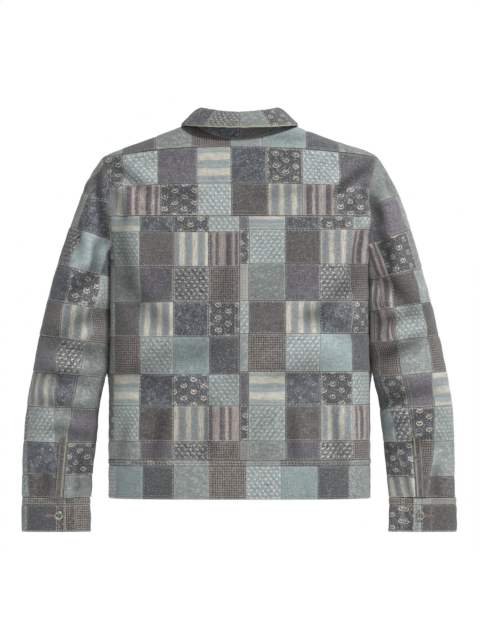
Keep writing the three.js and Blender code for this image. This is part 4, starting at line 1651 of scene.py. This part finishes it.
UNDER_CHART = {
    1: ["SDS", "SDN", "GXZ", "NHS", "XKX", "CDG", "GTG", "SPP", "FNF", "CSG"],
    -1: ["FSSM", "FSSS", "SNSS", "SSCM", "DMMM", "KXXX", "NNNF", "TZTK", "FFFF", "CCCC"],
}


def sleeve(side):
    label, rows = side_name(side), SLEEVE_ROWS[side]
    for under, kind, columns, chart in (
        (False, "upper", UPPER_COLUMNS[side], UPPER_CHART[side]),
        (True, "under", UNDER_COLUMNS[side], UNDER_CHART[side]),
    ):
        name, mapping = f"sleeve_{kind}_{label}", SleeveMap(side, under)
        cloth = Cloth(f"{name}_cloth", bpy.context.scene.jacket_sizes.cloth)
        strips = []
        for row, (top, foot) in enumerate(zip(rows, rows[1:])):
            low, high = foot + STRIP_GAP, top - STRIP_GAP
            shift = 0 if under else CAP_SHIFT[side].get(row, 0)
            seams = wobbled([c - shift if k == CAP_SEAM else c for k, c in enumerate(columns)], 100 + row)
            strips.append(cloth.add_strip(mapping, seams, chart[row], low, high, Relief(), step()))
        finish_cloth(cloth, name)
        down = strips[::-1]
        topstitch = [inset_line(strips[-1], "low", 0.0020)]
        if not under:
            for edge in ("first", "last"):
                topstitch += [joined_line(down, edge, 0.0020), joined_line(down, edge, 0.0070)]
        sew(name, cloth, topstitch, 60 + side + under)


def vent_edge(side):
    label = side_name(side)
    cloth, bottom, top = Cloth(f"vent_{label}_cloth", 0.0004), LAST_RING - 0.03, 8.85
    strip = cloth.add_strip(
        VentMap(side), [0, VENT_WIDTH], "D", bottom, top, Relief(), 0.003, along_length(-0.053),
        lift=0.0014,
    )
    finish_cloth(cloth, f"sleeve_vent_{label}")
    piping(f"vent_piping_{label}", *inset_line(strip, "first", 0.0004), 0.0007)
    sew(f"vent_{label}", None, [inset_line(strip, "last", 0.0018)], 70 + side)


def ring_faces(count, sides):
    """The faces between rings of points, each ring numbered after the one before it."""
    faces = []
    for i in range(count - 1):
        for k in range(sides):
            after = (k + 1) % sides
            faces.append((i * sides + k, i * sides + after, (i + 1) * sides + after, (i + 1) * sides + k))
    return faces


def piping(name, path, normals, radius, sides=8):
    """A closed cord of cloth along a path."""
    along = unit(np.gradient(path, axis=0))
    side = unit(np.cross(along, normals))
    turns = np.linspace(0, 2 * math.pi, sides, endpoint=False)
    across, up = np.cos(turns)[None, :, None], np.sin(turns)[None, :, None]
    rings = path[:, None] + radius * (across * side[:, None] + up * normals[:, None])
    count = len(path)
    faces = [tuple(range(sides))[::-1], tuple((count - 1) * sides + k for k in range(sides))]
    faces += ring_faces(count, sides)
    finish_trim(new_piece(name, rings.reshape(-1, 3).tolist(), faces), "piping")


# The cuffs' patches by where their seams lie across the back of the wrist, with the sub-row above.
CUFF_SUB_ROW = 0.0125
CUFF_CHART = {1: ([0.3745, 0.3215], "XXPGZX", "XXDGXX"), -1: ([0.3400, 0.3215], "FFPDDS", "XXDWWS")}


def cuff(side):
    label = side_name(side)
    mapping = CuffMap(side)
    ends, letters, top = CUFF_CHART[side]
    columns = [0, 0.045, 0.100, 0.150, *[mapping.length_at(x) for x in ends], mapping.along[-1]]
    cloth = Cloth(f"cuff_{label}_cloth", bpy.context.scene.jacket_sizes.cloth)
    line, relief, down = 1 - CUFF_SUB_ROW / CUFF_HEIGHT, Relief(0.35), along_length(CUFF_HEIGHT)
    strips = [
        cloth.add_strip(mapping, columns, letters, 0.0, line - 0.001, relief, step(), down),
        cloth.add_strip(mapping, columns, top, line + 0.001, 1.0, relief, step(), down),
    ]
    finish_cloth(cloth, f"cuff_{label}")
    topstitch = [inset_line(strips[0], "low", 0.0030), inset_line(strips[1], "high", 0.0020)]
    topstitch += [joined_line(strips, "last", 0.0026), inset_line(strips[1], "low", 0.0012)]
    sew(f"cuff_{label}", cloth, topstitch, 82 + side)
    piping(f"cuff_edge_{label}", *joined_line(strips, "last", 0.0003), 0.0006)
    height = (box_middle(f"button_cuff_{label}")[2] - CUFF_TOP) / CUFF_HEIGHT + 1
    u = np.linspace(mapping.length_at(0.3420), mapping.length_at(0.3270), 24)[None, :]
    points, normals = mapping.points(u, np.array([height]))
    buttonhole(f"buttonhole_cuff_{label}", points, normals, relief)


def buttonhole(name, points, normals, relief):
    """Two rows of close bar stitches along a slit, closed with longer bars at both ends."""
    points = (points + normals * (relief.broad(points) + 0.0006)[..., None])[0]
    normals = normals[0]
    thread = Thread(name)
    side = unit(np.cross(normals, np.gradient(points, axis=0)))
    for sign in (-1, 1):
        start = points + side * 0.0003 * sign
        thread.stitches(start, start + side * 0.0018 * sign, normals, 0.00040)
    ends = [0, -1]
    bars = side[ends] * 0.0022
    thread.stitches(points[ends] - bars, points[ends] + bars, normals[ends], 0.00050)
    finish_trim(thread.build(), "buttonhole")


LEAF_CHART = {1: ([0, 0.064, 0.120, 0.179, 0.35], "KNDC"), -1: ([0, 0.058, 0.114, 0.175, 0.35], "GFPX")}
STAND_CHART = {1: ([0, 0.070, 0.131, 0.30], "NZD"), -1: ([0, 0.070, 0.131, 0.30], "DPN")}


def collar(side):
    label, thickness = side_name(side), bpy.context.scene.jacket_sizes.collar
    stand = Cloth(f"collar_stand_{label}_cloth", thickness)
    mapping = CollarMap(side, stand_point, COLLAR_BASE, COLLAR_END)
    seams, letters = STAND_CHART[side]
    down = along_length(0.045)
    strip = stand.add_strip(mapping, seams, letters, -0.07, 1.06, Relief(0.0), step(), down)
    finish_cloth(stand, f"collar_stand_{label}")
    topstitch = [inset_line(strip, "low", 0.0030), inset_line(strip, "first", 0.0028)]
    sew(f"collar_stand_{label}", None, topstitch, 91 + side)
    leaf = Cloth(f"collar_leaf_{label}_cloth", thickness)
    mapping = CollarMap(side, leaf_point, COLLAR_EDGE, COLLAR_END - 4, COLLAR_SPREAD)
    seams, letters = LEAF_CHART[side]
    down = along_length(-0.056)
    strip = leaf.add_strip(mapping, seams, letters, 1.0, 0.0, Relief(0.4), step() * 0.8, down)
    finish_cloth(leaf, f"collar_leaf_{label}")
    topstitch = [inset_line(strip, "low", 0.0048), inset_line(strip, "first", 0.0028)]
    topstitch.append(inset_line(strip, "last", 0.0048))
    sew(f"collar_leaf_{label}", leaf, topstitch, 93 + side)
    path, normals = inset_line(strip, "low", 0.0)
    piping(f"collar_piping_{label}", path - normals * 0.0008, normals, 0.0009)


RIM_RADIUS, RIM_WIDTH, RIM_HEIGHT = 0.0056, 0.0024, 0.0015
POST_PROFILE = [(0.0030, 0.0009), (0.0024, 0.0009), (0.0021, 0.0017), (0.0012, 0.0020), (0.0, 0.0020)]
HOLLOW_RINGS = (8, 9, 10)


def button(name, node, facing, sides=40):
    """A ring-shaped metal button: a rolled rim round a dark hollow with a small post."""
    facing = np.array(facing, float)
    back = box_middle(node) - facing * 0.0013
    profile = [(0.0, 0.0), (0.0062, 0.0)]
    for k in range(7):
        turn = math.pi * (-0.15 + 1.15 * k / 6)
        rim = RIM_RADIUS + RIM_WIDTH * math.cos(turn), 0.0010 + RIM_HEIGHT * math.sin(turn)
        profile.append(rim)
    profile += POST_PROFILE
    turns = np.linspace(0, 2 * math.pi, sides, endpoint=False)
    across, up = np.array([1.0, 0, 0]), np.array([0, 0, 1.0])
    round_it = np.cos(turns)[:, None] * across + np.sin(turns)[:, None] * up
    points = np.concatenate([back + round_it * r + facing * h for r, h in profile])
    faces = ring_faces(len(profile), sides)
    hollow = [int(i // sides in HOLLOW_RINGS) for i in range(len(faces))]
    piece = new_piece(name, points.tolist(), faces, hollow)
    work = bmesh.new()
    work.from_mesh(piece.data)
    bmesh.ops.remove_doubles(work, verts=work.verts, dist=1e-6)
    bmesh.ops.recalc_face_normals(work, faces=work.faces)
    work.to_mesh(piece.data)
    work.free()
    piece.data.materials.append(Wardrobe.trim("metal"))
    piece.data.materials.append(Wardrobe.trim("recess"))
    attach(piece, "root")
    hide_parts(node)


# ---------------------------------------------------------------- operators


class JACKET_OT_back(bpy.types.Operator):
    """Sew the two backs and the yoke"""

    bl_idname = "jacket.back"
    bl_label = "Backs and yoke"

    def execute(self, context):
        back_panel(1)
        back_panel(-1)
        back_yoke()
        return {"FINISHED"}


class JACKET_OT_fronts(bpy.types.Operator):
    """Sew the two fronts, left over right"""

    bl_idname = "jacket.fronts"
    bl_label = "Fronts"

    def execute(self, context):
        front_panel(1)
        front_panel(-1)
        return {"FINISHED"}


class JACKET_OT_waistband(bpy.types.Operator):
    """Sew the waistband"""

    bl_idname = "jacket.waistband"
    bl_label = "Waistband"

    def execute(self, context):
        waistband()
        return {"FINISHED"}


class JACKET_OT_sleeves(bpy.types.Operator):
    """Sew both sleeves and their vents"""

    bl_idname = "jacket.sleeves"
    bl_label = "Sleeves"

    def execute(self, context):
        for side in (1, -1):
            sleeve(side)
            vent_edge(side)
        return {"FINISHED"}


class JACKET_OT_cuffs(bpy.types.Operator):
    """Sew both cuffs with their buttonholes"""

    bl_idname = "jacket.cuffs"
    bl_label = "Cuffs"

    def execute(self, context):
        cuff(1)
        cuff(-1)
        return {"FINISHED"}


class JACKET_OT_collar(bpy.types.Operator):
    """Sew the collar's stand and leaf"""

    bl_idname = "jacket.collar"
    bl_label = "Collar"

    def execute(self, context):
        collar(1)
        collar(-1)
        return {"FINISHED"}


class JACKET_OT_buttons(bpy.types.Operator):
    """Fasten the metal buttons"""

    bl_idname = "jacket.buttons"
    bl_label = "Buttons"

    def execute(self, context):
        for label in ("left", "right"):
            button(f"button_{label}_cuff", f"button_cuff_{label}", (0, 1, 0))
        for k in FRONT_BUTTONS:
            button(f"button_front_top_{k}", f"button_front_{k}", (0, -1, 0))
        button("button_waistband", "button_band", (0, -1, 0))
        return {"FINISHED"}


class JACKET_OT_stage(bpy.types.Operator):
    """Set up the floor, the lights and the camera"""

    bl_idname = "jacket.stage"
    bl_label = "Floor, lights and camera"

    def execute(self, context):
        studio_floor()
        studio_lights()
        studio_camera()
        context.scene.view_settings.view_transform = "Standard"
        return {"FINISHED"}


ROOM_LIGHT, FLOOR_GLOW = 0.35, 0.74
LENS, SENSOR = 300, 36  # millimetres
PICTURE_HEIGHT = 1.133
CAMERA_SIDE, EYE_LEVEL = -0.0009, -0.3186
FLOOR_HALF, FLOOR_LEVEL = 5.0, -0.95
WHITE = (1, 1, 1, 1)


def studio_camera():
    """A long lens level with the middle of the back."""
    data = bpy.data.cameras.new("camera")
    data.lens, data.sensor_width, data.clip_end = LENS, SENSOR, 80
    camera = bpy.data.objects.new("camera", data)
    bpy.context.scene.collection.objects.link(camera)
    camera.location = (CAMERA_SIDE, LENS / SENSOR * PICTURE_HEIGHT, EYE_LEVEL)
    camera.rotation_euler = (math.radians(90), 0, math.radians(180))
    bpy.context.scene.camera = camera


def studio_floor():
    """A pale flat floor under the jacket."""
    half, level = FLOOR_HALF, FLOOR_LEVEL
    corners = [(x, y, level) for x, y in ((-half, -half), (half, -half), (half, half), (-half, half))]
    mesh = bpy.data.meshes.new("studio_floor")
    mesh.from_pydata(corners, [], [(0, 1, 2, 3)])
    floor = bpy.data.objects.new("studio_floor", mesh)
    bpy.context.scene.collection.objects.link(floor)
    material = bpy.data.materials.new("studio_floor")
    material.use_nodes = True
    shader = material.node_tree.nodes["Principled BSDF"]
    colour = (*bpy.context.scene.jacket_trim_colours.floor, 1)
    shader.inputs["Base Color"].default_value = colour
    shader.inputs["Roughness"].default_value = 0.95
    shader.inputs["Emission Color"].default_value = colour
    shader.inputs["Emission Strength"].default_value = FLOOR_GLOW
    mesh.materials.append(material)


def soft_light(name, place, target, size, power):
    data = bpy.data.lights.new(name, "AREA")
    data.shape, data.size, data.energy = "DISK", size, power
    lamp = bpy.data.objects.new(name, data)
    bpy.context.scene.collection.objects.link(lamp)
    lamp.location = place
    lamp.rotation_euler = (Vector(target) - Vector(place)).to_track_quat("-Z", "Y").to_euler()


def studio_lights():
    """A room that gives soft light and is seen as plain white, and two large lamps."""
    world = bpy.data.worlds.new("studio")
    world.use_nodes = True
    nodes, links = world.node_tree.nodes, world.node_tree.links
    nodes["Background"].inputs["Strength"].default_value = ROOM_LIGHT
    nodes["Background"].inputs["Color"].default_value = WHITE
    seen = nodes.new("ShaderNodeBackground")
    path, mix = nodes.new("ShaderNodeLightPath"), nodes.new("ShaderNodeMixShader")
    links.new(path.outputs["Is Camera Ray"], mix.inputs[0])
    links.new(nodes["Background"].outputs[0], mix.inputs[1])
    seen.inputs["Color"].default_value = WHITE
    links.new(seen.outputs[0], mix.inputs[2])
    links.new(mix.outputs[0], nodes["World Output"].inputs["Surface"])
    bpy.context.scene.world = world
    middle = (0, 0, -0.33)
    soft_light("key", (-1.5, 2.1, 2.9), middle, 0.7, 172)
    soft_light("front_fill", (-1.2, -2.6, 1.6), middle, 1.6, 60)


class JACKET_PT_panel(bpy.types.Panel):
    """The steps of making the jacket"""

    bl_idname = "JACKET_PT_panel"
    bl_label = "Patched jacket"
    bl_space_type = "VIEW_3D"
    bl_region_type = "UI"
    bl_category = "Jacket"

    def draw(self, context):
        for step_class in STEPS:
            self.layout.operator(step_class.bl_idname)
        scene = context.scene
        for group in (scene.jacket_sizes, scene.jacket_trim_colours, scene.jacket_cloth_colours):
            box = self.layout.box()
            for name in group.__annotations__:
                box.prop(group, name)


STEPS = [
    JACKET_OT_back,
    JACKET_OT_fronts,
    JACKET_OT_waistband,
    JACKET_OT_sleeves,
    JACKET_OT_cuffs,
    JACKET_OT_collar,
    JACKET_OT_buttons,
    JACKET_OT_stage,
]
GROUPS = {
    "jacket_sizes": JacketSizes,
    "jacket_cloth_colours": JacketClothColours,
    "jacket_trim_colours": JacketTrimColours,
}


def register():
    for group in GROUPS.values():
        bpy.utils.register_class(group)
    for name, group in GROUPS.items():
        setattr(bpy.types.Scene, name, PointerProperty(type=group))
    for item in [*STEPS, JACKET_PT_panel]:
        bpy.utils.register_class(item)


def unregister():
    for item in [JACKET_PT_panel, *reversed(STEPS)]:
        bpy.utils.unregister_class(item)
    for name in GROUPS:
        delattr(bpy.types.Scene, name)
    for group in GROUPS.values():
        bpy.utils.unregister_class(group)


def main():
    register()
    bpy.ops.jacket.back()
    bpy.ops.jacket.fronts()
    bpy.ops.jacket.waistband()
    bpy.ops.jacket.sleeves()
    bpy.ops.jacket.cuffs()
    bpy.ops.jacket.collar()
    bpy.ops.jacket.buttons()
    bpy.ops.jacket.stage()


if __name__ == "__main__":
    main()
